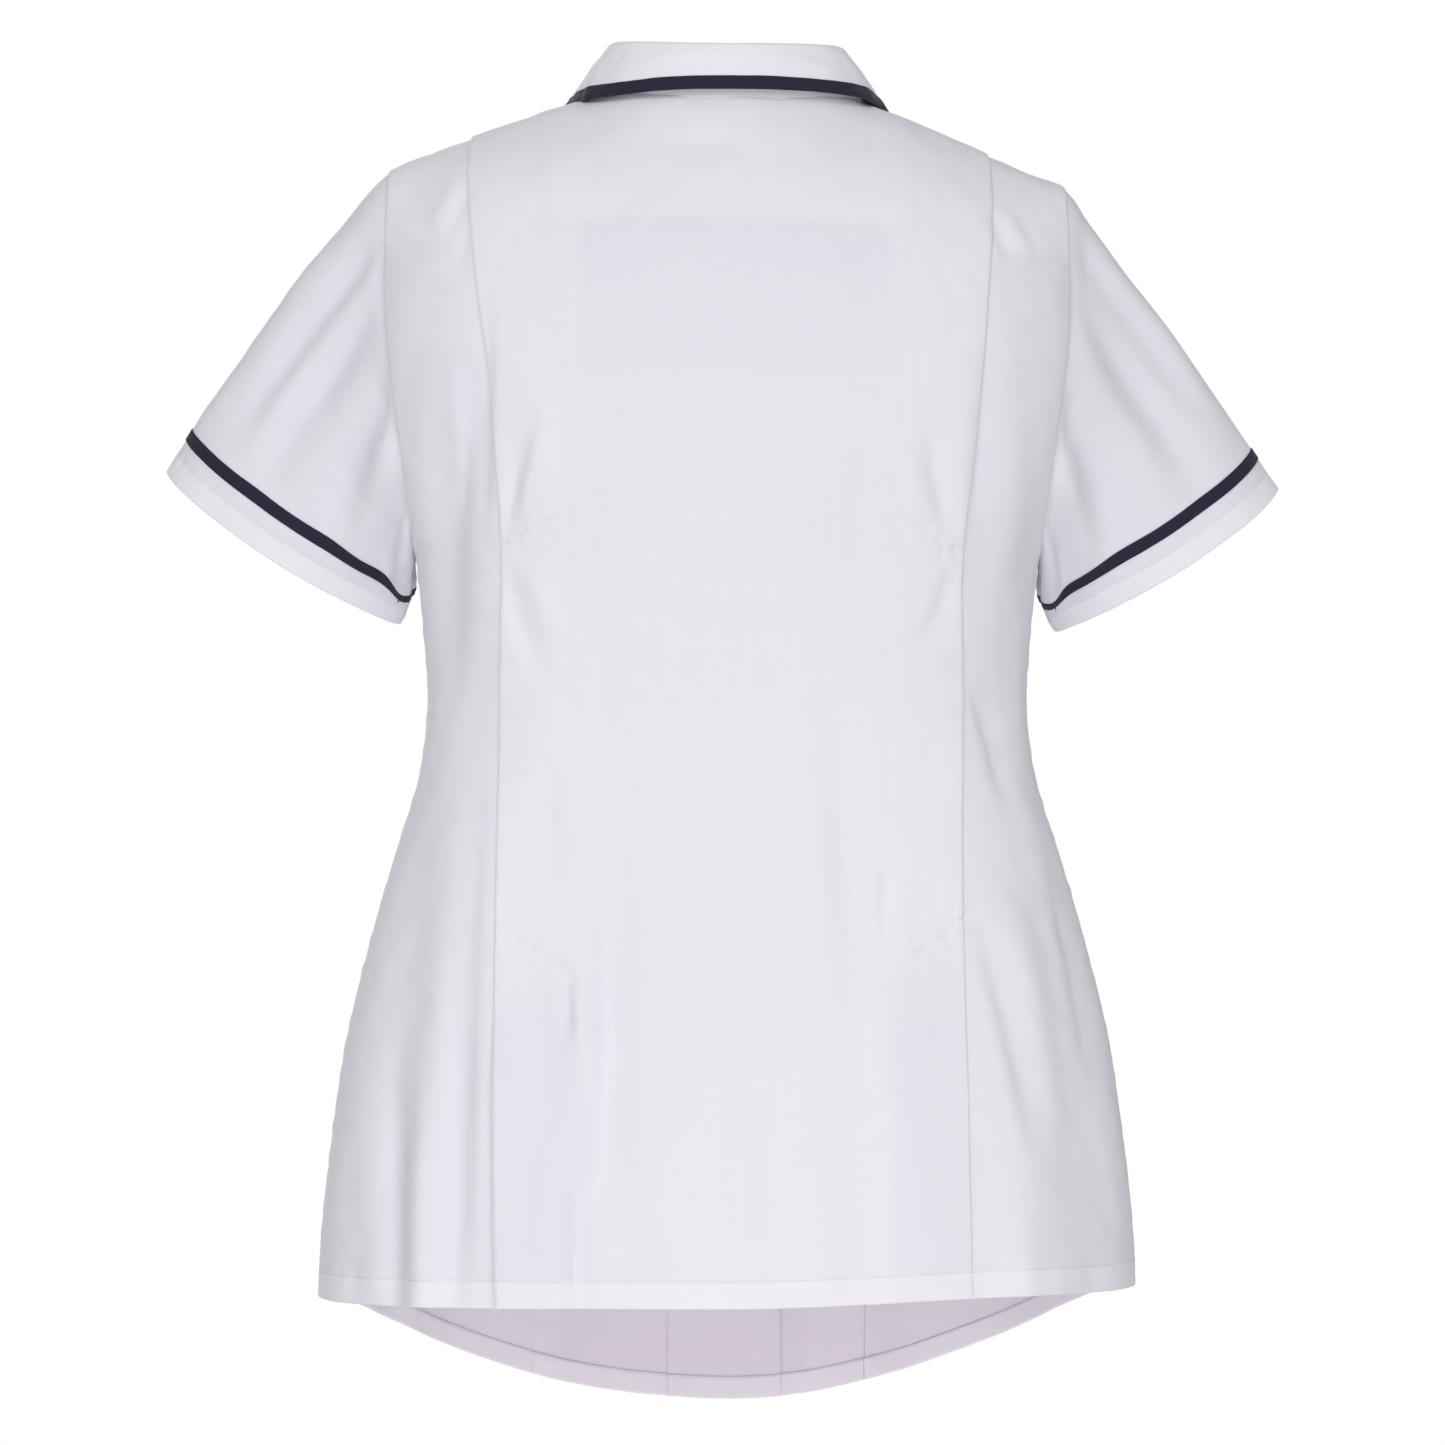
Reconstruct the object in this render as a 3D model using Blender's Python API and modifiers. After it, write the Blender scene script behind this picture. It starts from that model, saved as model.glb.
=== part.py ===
"""A short-sleeved maternity tunic, filled out as if worn, with taped collar and sleeves.

Every panel is a wall of cloth on one shared body surface. A place on that surface is given by
u, from -1 at the left side seam to +1 at the right one, and v, from 0 at the shoulder and neck
through 1 at the chest line to 2 at the hem. Stations are the u of seams, folds and edges, so
panels that lie on each other have their points on the same columns and rows.
Metres, +Z up. The back faces -Y and the left side is -X. The origin is between the shoulders.
"""

import math
from collections import namedtuple

import bpy
import numpy as np

# Cloth walls and what lies between them
WALL = 0.0012
SEAM = 0.0003
LAYER = 0.0016  # from the middle of one layer of cloth to the middle of the next
TAPE_WALL = 0.0010
TAPE_WIDTH = 0.0075

# Neck and shoulders
NECK_HALF = 0.082
NECK_BACK = 0.062
NECK_FRONT = 0.080
NECK_DROP_BACK = 0.004
NECK_DROP_FRONT = 0.084
NECK_SIDE_Z = 0.004
TIP_X = 0.203
TIP_Z = -0.042

# Heights of the main lines
CHEST_Z = -0.130
UNDERARM_Z = -0.272
HEM_SIDE = -0.713
HEM_BACK = -0.709
HEM_FRONT = -0.793
HEM_HALF = 0.245
HEM_CURVE = 2.1

# The sections are rounded boxes: 2 would be an ellipse
SQUARE = 2.3

# How far out and down the cloth goes where it leaves the neck's middle and the shoulder, and how
# much of the way to the chest line each end keeps its own direction
NECK_OUT = 0.45
SHOULDER_OUT = 1.00
NECK_DOWN = 0.90
SHOULDER_DOWN = 0.10
TOP_REACH = 0.42
CHEST_REACH = 0.36
SPREAD = 0.35  # how much the cloth runs outwards where it leaves the neck's side

# The armhole's edge, as shares of its height: rounded up to the first one, narrower past the rest
ARM_ROUND = 0.40
ARM_NARROW = 0.25
ARM_NARROW_FROM = 0.45
ARM_NARROW_TO = 0.70

# The right side hangs a little lower at the shoulder and higher at the hem
RIGHT_DROP = 0.009
RIGHT_RISE = 0.016
LEAN_REACH = 0.200

# Sleeve: the middle of the cuff, its half sizes and the way it points, for the right arm
CUFF_CENTRE = (0.272, 0.045, -0.265)
CUFF_LONG = 0.081
CUFF_DEEP = 0.040
CUFF_OUT = (0.837, 0.0, 0.547)
CUFF_TILT = 0.25
CUFF_TO_TAPE = 0.023
SLEEVE_ROWS = 8
RAIL_POINTS = 60
ALONG_BODY = 0.4  # how much the sleeve leaves the armhole along the body's cloth
LEAVE_PULL = 0.7
CUFF_PULL = 0.9

# Collar: how far the fall's edge stands out from the neck seam and above it, and its roll
FALL_OUT_BACK = 0.0070
FALL_OUT_SIDE = 0.0115
FALL_UP_BACK = 0.0045
FALL_UP_SIDE = -0.0010
FALL_LIFT = 0.0044
FALL_CROWN = 0.0060
ROLL_RADIUS = 0.0024
COLLAR_GAP = 0.0015  # from the front's middle to each end of the collar
STAND_CELLS = 3
BEND_CELLS = 4
FALL_CELLS = 4
LIFTS_FROM = 80  # degrees round the neck: the fall hangs free behind this
LIES_FROM = 105  # and lies on the chest before this

# Walls that meet at less than the first angle run on past the cut edge, and past the second one
# they stand on the other wall
FLAT_ANGLE = 45
STANDING_ANGLE = 135
FULL_WALL_ANGLE = 120

Level = namedtuple("Level", "z side back front")
LEVELS = (
    Level(-0.040, 0.2035, 0.085, 0.070),
    Level(-0.100, 0.2050, 0.107, 0.098),
    Level(-0.130, 0.2040, 0.113, 0.109),
    Level(-0.170, 0.2000, 0.116, 0.121),
    Level(-0.210, 0.1945, 0.115, 0.128),
    Level(-0.240, 0.1905, 0.112, 0.131),
    Level(-0.272, 0.1865, 0.108, 0.132),
    Level(-0.320, 0.1815, 0.103, 0.131),
    Level(-0.360, 0.1795, 0.099, 0.131),
    Level(-0.400, 0.1840, 0.098, 0.135),
    Level(-0.450, 0.1990, 0.105, 0.143),
    Level(-0.500, 0.2135, 0.115, 0.151),
    Level(-0.560, 0.2280, 0.128, 0.159),
    Level(-0.620, 0.2370, 0.139, 0.165),
    Level(-0.680, 0.2435, 0.147, 0.169),
    Level(-0.720, 0.2455, 0.150, 0.171),
    Level(-0.800, 0.2470, 0.153, 0.173),
)

# Where the back's folds and the inner edges of its pleats run, as signed x at each height
BackLine = namedtuple("BackLine", "z fold_left inner_left neck_left neck_right inner_right fold_right")
BACK_LINES = (
    BackLine(0.000, -0.1480, -0.1050, -0.082, 0.082, 0.1070, 0.1520),
    BackLine(-0.085, -0.1480, -0.1025, -0.088, 0.088, 0.1050, 0.1530),
    BackLine(-0.200, -0.1360, -0.0955, -0.078, 0.082, 0.1005, 0.1455),
    BackLine(-0.260, -0.1320, -0.0915, -0.074, 0.076, 0.0955, 0.1385),
    BackLine(-0.360, -0.1325, -0.0905, -0.072, 0.074, 0.0945, 0.1375),
    BackLine(-0.500, -0.1330, -0.0895, -0.070, 0.074, 0.0925, 0.1370),
    BackLine(-0.600, -0.1335, -0.0800, -0.060, 0.074, 0.0955, 0.1390),
    BackLine(-0.720, -0.1325, -0.0760, -0.056, 0.074, 0.0975, 0.1410),
)

# The same for the front: panel seams, the facing's free edge and the two lapped front edges
FrontLine = namedtuple(
    "FrontLine", "z seam_left neck_left facing lap_right middle lap_left neck_right seam_right"
)
FRONT_LINES = (
    FrontLine(0.000, -0.135, -0.082, -0.042, -0.020, 0.000, 0.022, 0.082, 0.135),
    FrontLine(-0.130, -0.114, -0.088, -0.041, -0.020, 0.000, 0.023, 0.088, 0.114),
    FrontLine(-0.240, -0.101, -0.080, -0.040, -0.020, 0.001, 0.024, 0.080, 0.100),
    FrontLine(-0.360, -0.099, -0.076, -0.038, -0.020, 0.002, 0.027, 0.074, 0.094),
    FrontLine(-0.560, -0.112, -0.080, -0.037, -0.020, 0.004, 0.031, 0.070, 0.089),
    FrontLine(-0.800, -0.124, -0.084, -0.037, -0.020, 0.006, 0.034, 0.068, 0.086),
)

BACK_STATIONS = {
    "side_left": -1.0,
    "fold_left": -0.62,
    "inner_left": -0.42,
    "neck_left": -0.30,
    "neck_right": 0.30,
    "inner_right": 0.42,
    "fold_right": 0.62,
    "side_right": 1.0,
}
FRONT_STATIONS = {
    "side_left": -1.0,
    "seam_left": -0.60,
    "neck_left": -0.38,
    "facing": -0.20,
    "lap_right": -0.10,
    "middle": 0.0,
    "lap_left": 0.12,
    "neck_right": 0.38,
    "seam_right": 0.60,
    "side_right": 1.0,
}
BACK_CELLS = (7, 3, 2, 12, 2, 3, 7)
FRONT_CELLS = (7, 2, 5, 2, 1, 1, 6, 2, 7)

# Soft folds: where each starts and ends, its height out of the cloth (less than 0 is a trough)
Fold = namedtuple("Fold", "x_top z_top x_foot z_foot height width")
BACK_FOLDS = (
    Fold(-0.150, -0.330, -0.178, -0.730, 0.0050, 0.024),
    Fold(-0.172, -0.400, -0.215, -0.730, -0.0045, 0.022),
    Fold(-0.068, -0.380, -0.080, -0.730, -0.0035, 0.026),
    Fold(-0.010, -0.420, -0.015, -0.730, 0.0025, 0.034),
    Fold(0.055, -0.360, 0.088, -0.730, -0.0035, 0.026),
    Fold(0.148, -0.360, 0.185, -0.730, 0.0045, 0.026),
    Fold(0.180, -0.420, 0.220, -0.730, -0.0040, 0.022),
)
FRONT_FOLDS = (
    Fold(-0.120, -0.300, -0.165, -0.780, 0.0055, 0.028),
    Fold(-0.085, -0.340, -0.105, -0.800, -0.0050, 0.026),
    Fold(-0.030, -0.380, -0.050, -0.820, 0.0030, 0.030),
    Fold(0.075, -0.340, 0.120, -0.800, -0.0045, 0.028),
    Fold(0.120, -0.300, 0.160, -0.780, 0.0055, 0.028),
    Fold(0.165, -0.400, 0.205, -0.740, -0.0040, 0.024),
)

Face = namedtuple("Face", "way depth lines stations cells arm neck_depth neck_drop folds")
BACK = Face(
    -1, "back", BACK_LINES, BACK_STATIONS, BACK_CELLS, 0.050, NECK_BACK, NECK_DROP_BACK, BACK_FOLDS
)
FRONT = Face(
    1, "front", FRONT_LINES, FRONT_STATIONS, FRONT_CELLS, 0.047, NECK_FRONT, NECK_DROP_FRONT,
    FRONT_FOLDS,
)

UNDERARM_V = 1 + (CHEST_Z - UNDERARM_Z) / (CHEST_Z - HEM_SIDE)
SHOULDER_ROWS = 6
ARM_ROWS = 7
SKIRT_ROWS = 13
EDGE_U = 0.0003  # half a seam's gap in u at a side seam
PANEL_U = 0.0007  # the same at a front panel seam
STEP = 0.001  # the small step in u, v or height that slopes are measured over
FOLD_TURN_U = 0.0045  # how far a back fold's round edge stands out past its station
RETURN_EASE_U = 0.12  # over how much u the centre back comes down from its pleats
LEAST_RUN = 0.5  # keeps the shoulder's top row from being drawn in too far


def unit(vectors):
    return vectors / np.maximum(np.linalg.norm(vectors, axis=-1, keepdims=True), 1e-12)


def ease(low, high, values):
    share = np.clip((values - low) / (high - low), 0, 1)
    return share * share * (3 - 2 * share)


def read(table, column, at, key="z"):
    """One column of a table, read at values of its key column on a smooth curve through its rows."""
    ordered = sorted(table, key=lambda row: getattr(row, key))
    keys = np.array([getattr(row, key) for row in ordered])
    values = np.array([getattr(row, column) for row in ordered])
    slopes = np.gradient(values, keys)
    at = np.clip(at, keys[0], keys[-1])
    i = np.clip(np.searchsorted(keys, at) - 1, 0, len(keys) - 2)
    step = keys[i + 1] - keys[i]
    t = (at - keys[i]) / step
    near = (1 + 2 * t) * (1 - t) ** 2 * values[i] + t * (1 - t) ** 2 * step * slopes[i]
    far = t * t * (3 - 2 * t) * values[i + 1] - t * t * (1 - t) * step * slopes[i + 1]
    return near + far


def between(face, u, values):
    """Values given at a face's stations, read at u."""
    places = list(face.stations.values())
    result = np.zeros(np.shape(u))
    for k in range(len(places) - 1):
        share = (u - places[k]) / (places[k + 1] - places[k])
        inside = (u >= places[k]) if k else np.full(np.shape(u), True)
        result = np.where(inside, values[k] + (values[k + 1] - values[k]) * share, result)
    return result


def armhole_depth(face, z):
    """How far the armhole's edge lies behind or before the side, rounded at the underarm."""
    share = np.clip((z - UNDERARM_Z) / (TIP_Z - UNDERARM_Z), 0, 1)
    rounded = np.sqrt(np.maximum(1 - (1 - np.minimum(share / ARM_ROUND, 1)) ** 2, 0))
    return face.arm * rounded * (1 - ARM_NARROW * ease(ARM_NARROW_FROM, ARM_NARROW_TO, share))


def section_point(face, u, z):
    """A place on the level section at height z."""
    depth = read(LEVELS, face.depth, z)
    limit = np.arccos(np.clip((armhole_depth(face, z) / depth) ** (SQUARE / 2), 0, 1))
    width = read(LEVELS, "side", z) / np.sin(limit) ** (2 / SQUARE)
    angles = [-limit]
    for name in list(face.stations)[1:-1]:
        x = read(face.lines, name, z)
        angles.append(np.sign(x) * np.arcsin((np.abs(x) / width) ** (SQUARE / 2)))
    angles.append(limit)
    angle = between(face, u, angles)
    x = width * np.sign(angle) * np.abs(np.sin(angle)) ** (2 / SQUARE)
    y = face.way * depth * np.maximum(np.cos(angle), 0) ** (2 / SQUARE)
    return np.stack([x, y, np.broadcast_to(z, np.shape(x))], axis=-1)


def turn_of(x):
    """How far round the neck and out along the shoulder x lies: a quarter turn at the neck's side."""
    inside = np.arcsin(np.clip(np.abs(x) / NECK_HALF, 0, 1))
    outside = np.maximum(np.abs(x) / NECK_HALF - 1, 0)
    return np.sign(x) * (inside + outside)


def station_turns(face):
    """Where each station of a face meets the neck or shoulder seam, as a turn."""
    names = list(face.stations)[1:-1]
    tip = float(turn_of(TIP_X))
    return [-tip] + [float(turn_of(getattr(face.lines[0], name))) for name in names] + [tip]


def top_point(face, turn):
    """The neck seam, and past a quarter turn the shoulder seam."""
    round_neck = np.minimum(np.abs(turn), math.pi / 2)
    along = np.maximum(np.abs(turn) - math.pi / 2, 0) * NECK_HALF
    x = np.sign(turn) * (NECK_HALF * np.sin(round_neck) + along)
    y = face.way * face.neck_depth * np.cos(round_neck)
    slope = (TIP_Z - NECK_SIDE_Z) / (TIP_X - NECK_HALF)
    z = NECK_SIDE_Z - face.neck_drop * np.cos(round_neck) ** 3 + slope * along
    return np.stack([x, y, z], axis=-1)


def hem_z(face, u):
    reach = np.abs(section_point(face, u, np.full(np.shape(u), HEM_SIDE))[..., 0]) / HEM_HALF
    middle = HEM_BACK if face.way < 0 else HEM_FRONT
    return middle + (HEM_SIDE - middle) * np.clip(reach, 0, 1) ** HEM_CURVE


def surface(face, u, v):
    """The body surface at u and v, before its folds."""
    u, v = np.broadcast_arrays(np.asarray(u, float), np.asarray(v, float))
    z = CHEST_Z - (np.maximum(v, 1) - 1) * (CHEST_Z - hem_z(face, u))
    below = section_point(face, u, z)
    foot = unit(section_point(face, u, z - STEP) - below)
    turn = between(face, u, station_turns(face))
    top = top_point(face, turn)
    share = np.minimum(np.abs(turn) / (math.pi / 2), 1) ** 2
    outer = ease(math.pi / 2, float(turn_of(TIP_X)), np.abs(turn))
    away = face.way * (NECK_OUT + (SHOULDER_OUT - NECK_OUT) * share)
    down = -NECK_DOWN + (NECK_DOWN - SHOULDER_DOWN) * share
    sideways = np.sign(turn) * SPREAD * share * (1 - outer)
    start = unit(np.stack([sideways, away, down], axis=-1))
    length = np.linalg.norm(below - top, axis=-1, keepdims=True)
    second = top + start * length * TOP_REACH
    third = below - foot * length * CHEST_REACH
    t = np.minimum(v, 1)[..., None]
    above = (
        top * (1 - t) ** 3 + second * 3 * t * (1 - t) ** 2 + third * 3 * t * t * (1 - t) + below * t**3
    )
    return np.where((v < 1)[..., None], above, below)


def relief(face, points):
    """How far the soft folds lift the cloth at these points."""
    x, z = points[..., 0], points[..., 2]
    total = np.zeros_like(x)
    for fold in face.folds:
        share = np.clip((z - fold.z_top) / (fold.z_foot - fold.z_top), 0, 1)
        middle = fold.x_top + (fold.x_foot - fold.x_top) * share
        width = fold.width * (0.6 + 0.4 * share)
        total += fold.height * ease(0, 0.55, share) * np.exp(-(((x - middle) / width) ** 2))
    return total


def cloth(face, u, v):
    """Points of the body surface with its folds, and which way is out."""
    across = surface(face, np.minimum(u + STEP, 1), v) - surface(face, np.maximum(u - STEP, -1), v)
    down = surface(face, u, np.minimum(v + STEP, 2)) - surface(face, u, np.maximum(v - STEP, 0))
    out = unit(np.cross(across, down)) * face.way
    points = surface(face, u, v)
    return points + out * relief(face, points)[..., None], out


def columns(face, first, last):
    """The u of every column from one station to another."""
    names = list(face.stations)
    places = []
    for k in range(names.index(first), names.index(last)):
        start, stop = face.stations[names[k]], face.stations[names[k + 1]]
        places.extend(np.linspace(start, stop, face.cells[k], endpoint=False))
    return np.array(places + [face.stations[last]])


def rows():
    """The v of every row, closer together where the armhole rounds into the side."""
    shoulder = np.linspace(0, 1, SHOULDER_ROWS, endpoint=False)
    round_in = np.sin(np.linspace(0, math.pi / 2, ARM_ROWS, endpoint=False))
    arm = 1 + (UNDERARM_V - 1) * round_in
    skirt = np.linspace(UNDERARM_V, 2, SKIRT_ROWS + 1)
    return np.concatenate([shoulder, arm, skirt])


def settle(points):
    """The small lean of the whole garment: its right side lower above and higher below."""
    share = ease(0, LEAN_REACH, points[..., 0])
    shift = share * (RIGHT_RISE * points[..., 2] / HEM_SIDE - RIGHT_DROP)
    moved = points.copy()
    moved[..., 2] += shift
    return moved


def material(name, colour, roughness):
    finish = bpy.data.materials.new(name)
    finish.use_nodes = True
    shader = finish.node_tree.nodes["Principled BSDF"]
    shader.inputs["Base Color"].default_value = (*colour, 1)
    shader.inputs["Roughness"].default_value = roughness
    shader.inputs["Metallic"].default_value = 0
    return finish


def wall(name, points, finish, thickness=WALL, ring=False, backward=()):
    """A wall of cloth on a net of points; a ring's last column joins its first. Each cell is cut
    from its top left to its bottom right, seen from outside, or the other way in the backward
    columns of a fold's return, so that layers which lie on each other are cut alike."""
    points = settle(points)
    height, width = points.shape[:2]
    corners = [tuple(p) for p in points.reshape(-1, 3)]
    faces = []
    for i in range(height - 1):
        for j in range(width if ring else width - 1):
            k = (j + 1) % width
            a, b, c, d = i * width + j, i * width + k, (i + 1) * width + k, (i + 1) * width + j
            if j in backward:
                faces += [(a, b, d), (b, c, d)]
            else:
                faces += [(a, b, c), (a, c, d)]
    mesh = bpy.data.meshes.new(name)
    mesh.from_pydata(corners, [], faces)
    mesh.update()
    mesh.shade_smooth()
    mesh.materials.append(finish)
    piece = bpy.data.objects.new(name, mesh)
    shell = piece.modifiers.new("Cloth", "SOLIDIFY")
    shell.thickness = thickness
    shell.offset = 0
    shell.use_even_offset = True
    bpy.data.collections["Maternity tunic"].objects.link(piece)
    return piece


def panel(name, face, places, offsets, finish, backward=()):
    """A panel on the body surface: a column at each place, moved out by its offset. Its top is
    drawn in by half a seam's gap, and by what its wall leans in where it meets the other face."""
    u, v = np.meshgrid(places, rows())
    points, out = cloth(face, u, v)
    down = unit(points[1] - points[0])
    on_shoulder = np.abs(between(face, places, station_turns(face))) > math.pi / 2 - STEP
    lean = (SEAM / 2 + WALL / 2 * np.abs(down[:, 2])) / np.maximum(np.abs(down[:, 1]), LEAST_RUN)
    points[0] += down * np.where(on_shoulder, lean, SEAM / 2)[:, None]
    moved = points + out * np.broadcast_to(offsets, u.shape)[..., None]
    return wall(name, moved, finish, backward=backward)


def inset(places, first=0.0, last=0.0):
    """The same columns with the outer two drawn in by half a seam's gap."""
    places = places.copy()
    places[0] += first
    places[-1] -= last
    return places


def back_centre(finish):
    """The centre back, folded under at both sides to the inner edges of its pleats."""
    middle = columns(BACK, "fold_left", "fold_right")
    reach = np.maximum(BACK_STATIONS["inner_right"] - np.abs(middle), 0)
    level = 2 * LAYER * (1 - ease(0, RETURN_EASE_U, reach))
    left = columns(BACK, "fold_left", "inner_left")[::-1]
    right = columns(BACK, "inner_right", "fold_right")[::-1]
    places = np.concatenate(
        [left, [left[-1] - FOLD_TURN_U], middle, [right[0] + FOLD_TURN_U], right]
    )
    offsets = np.concatenate(
        [np.full(len(left), LAYER), [1.5 * LAYER], level, [1.5 * LAYER], np.full(len(right), LAYER)]
    )
    last = len(places) - 1
    returns = set(range(len(left))) | set(range(last - len(right), last))
    return panel("back_centre", BACK, places, offsets, finish, returns)


def back_sides(finish):
    left = inset(columns(BACK, "side_left", "inner_left"), first=EDGE_U)
    right = inset(columns(BACK, "inner_right", "side_right"), last=EDGE_U)
    panel("back_side_left", BACK, left, 0, finish)
    panel("back_side_right", BACK, right, 0, finish)


def fronts(finish):
    left_side = inset(columns(FRONT, "side_left", "seam_left"), EDGE_U, PANEL_U)
    right_side = inset(columns(FRONT, "seam_right", "side_right"), PANEL_U, EDGE_U)
    left = inset(columns(FRONT, "seam_left", "lap_left"), first=PANEL_U)
    right = inset(columns(FRONT, "lap_right", "seam_right"), last=PANEL_U)
    facing = columns(FRONT, "facing", "lap_left")
    lapped = between(FRONT, right, [0, 0, LAYER, LAYER, LAYER, LAYER, LAYER, LAYER, 0, 0])
    panel("front_side_left", FRONT, left_side, 0, finish)
    panel("front_side_right", FRONT, right_side, 0, finish)
    panel("front_centre_left", FRONT, left, 0, finish)
    panel("front_centre_right", FRONT, right, lapped, finish)
    panel("front_facing_left", FRONT, facing, -LAYER, finish)


def armhole(side):
    """The armhole's edge from the shoulder tip down the back and up the front, as points,
    the way out of the cloth and the way on across the seam."""
    down = rows()[: SHOULDER_ROWS + ARM_ROWS + 1]
    back, back_out = cloth(BACK, np.full(down.shape, side), down)
    front, front_out = cloth(FRONT, np.full(down.shape, side), down)
    points = np.concatenate([back, front[-2:0:-1]])
    out = np.concatenate([back_out, front_out[-2:0:-1]])
    out[0] = unit(back_out[0] + front_out[0])
    under = len(down) - 1
    out[under] = unit(back_out[-1] + front_out[-1])
    along = unit(np.roll(points, -1, axis=0) - np.roll(points, 1, axis=0))
    return points, out, unit(np.cross(out, along)) * side, under


def mirrored(vector, side):
    return np.array([vector[0] * side, vector[1], vector[2]])


def edge_gap(across, out, way):
    """The step from a cut edge to the middle of a wall that leaves it: across is the way on past
    the edge, out is the way out of the cloth and way is where the new wall goes."""
    cosine = np.clip((way * across).sum(axis=-1), -1, 1)
    angle = np.degrees(np.arccos(cosine))[:, None]
    swing = ease(FLAT_ANGLE, STANDING_ANGLE, angle) * math.pi / 2
    length = SEAM + WALL * np.minimum(angle / FULL_WALL_ANGLE, 1)
    return (across * np.cos(swing) + out * np.sin(swing)) * length


def sleeve_rails(side):
    """Lines along the sleeve from the armhole to the cuff, one for each point of the armhole."""
    points, out, across, under = armhole(side)
    cuff_out = mirrored(CUFF_OUT, side)
    deep = unit(mirrored((CUFF_OUT[2] * CUFF_TILT, -1, -CUFF_OUT[0] * CUFF_TILT), side))
    axis = unit(np.cross(cuff_out, deep) * side)
    way = unit(across * ALONG_BODY + axis * (1 - ALONG_BODY))
    start = points + edge_gap(across, out, way)
    steps = np.linalg.norm(np.roll(points, -1, axis=0) - points, axis=-1)
    run = np.concatenate([[0], np.cumsum(steps)])
    half, whole = run[under], run[-1]
    run = run[:-1]
    turn = np.where(run <= half, run / half, 1 + (run - half) / (whole - half)) * math.pi
    long_part = CUFF_LONG * np.cos(turn)[:, None] * cuff_out
    deep_part = CUFF_DEEP * np.sin(turn)[:, None] * deep
    end = mirrored(CUFF_CENTRE, side) + long_part + deep_part
    length = np.linalg.norm(end - start, axis=-1, keepdims=True)
    t = np.linspace(0, 1, RAIL_POINTS)[:, None, None]
    return (
        (2 * t**3 - 3 * t**2 + 1) * start
        + (t**3 - 2 * t**2 + t) * way * length * LEAVE_PULL
        + (3 * t**2 - 2 * t**3) * end
        + (t**3 - t**2) * axis * length * CUFF_PULL
    )


def along_rails(rails, places):
    """Points on each rail at lengths measured up from the cuff; places has a row for each."""
    result = np.zeros((len(places), rails.shape[1], 3))
    for j in range(rails.shape[1]):
        rail = rails[::-1, j]
        run = np.concatenate([[0], np.cumsum(np.linalg.norm(np.diff(rail, axis=0), axis=-1))])
        for k in range(3):
            result[:, j, k] = np.interp(places[:, j] * run[-1], run, rail[:, k])
    return result


def sleeve(side_name, side, cloth_finish, tape_finish):
    rails = sleeve_rails(side)
    length = np.linalg.norm(np.diff(rails, axis=0), axis=-1).sum(axis=0)
    fixed = [np.zeros_like(length), CUFF_TO_TAPE / length, (CUFF_TO_TAPE + TAPE_WIDTH) / length]
    rest = [fixed[2] + (1 - fixed[2]) * k / SLEEVE_ROWS for k in range(1, SLEEVE_ROWS + 1)]
    net = along_rails(rails, np.array(fixed + rest))[::-1]
    if side > 0:
        net = net[:, ::-1]
    wall("sleeve_" + side_name, net, cloth_finish, ring=True)
    across = np.roll(net, -1, axis=1) - np.roll(net, 1, axis=1)
    down = np.gradient(net, axis=0)
    out = unit(np.cross(down, across))
    lift = WALL / 2 + SEAM + TAPE_WALL / 2
    band = (net + out * lift)[-3:-1]
    wall("sleeve_tape_" + side_name, band, tape_finish, TAPE_WALL, ring=True)


CollarLine = namedtuple("CollarLine", "turn height lean fall_x fall_v")
COLLAR_LINES = (
    CollarLine(0, 0.0290, 4, 0.094, 0.00),
    CollarLine(45, 0.0300, 12, 0.094, 0.00),
    CollarLine(85, 0.0320, 22, 0.094, 0.00),
    CollarLine(120, 0.0260, 26, 0.093, 0.34),
    CollarLine(150, 0.0150, 29, 0.077, 0.66),
    CollarLine(180, 0.0060, 32, 0.046, 0.90),
)


def neck_turns():
    """How far round the neck each collar station lies, from the front's middle on the left side
    through the back to the front's middle on the right."""
    back = between(BACK, columns(BACK, "neck_left", "neck_right"), station_turns(BACK))
    left = between(FRONT, columns(FRONT, "neck_left", "middle"), station_turns(FRONT))
    right = between(FRONT, columns(FRONT, "middle", "neck_right"), station_turns(FRONT))
    middle_gap = float(turn_of(COLLAR_GAP))
    left[-1], right[0] = -middle_gap, middle_gap
    return np.concatenate([-math.pi - left[::-1][:-1], back, math.pi - right[::-1][1:]])


def collar_value(column, turns):
    return read(COLLAR_LINES, column, np.degrees(np.abs(turns)), key="turn")


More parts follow.
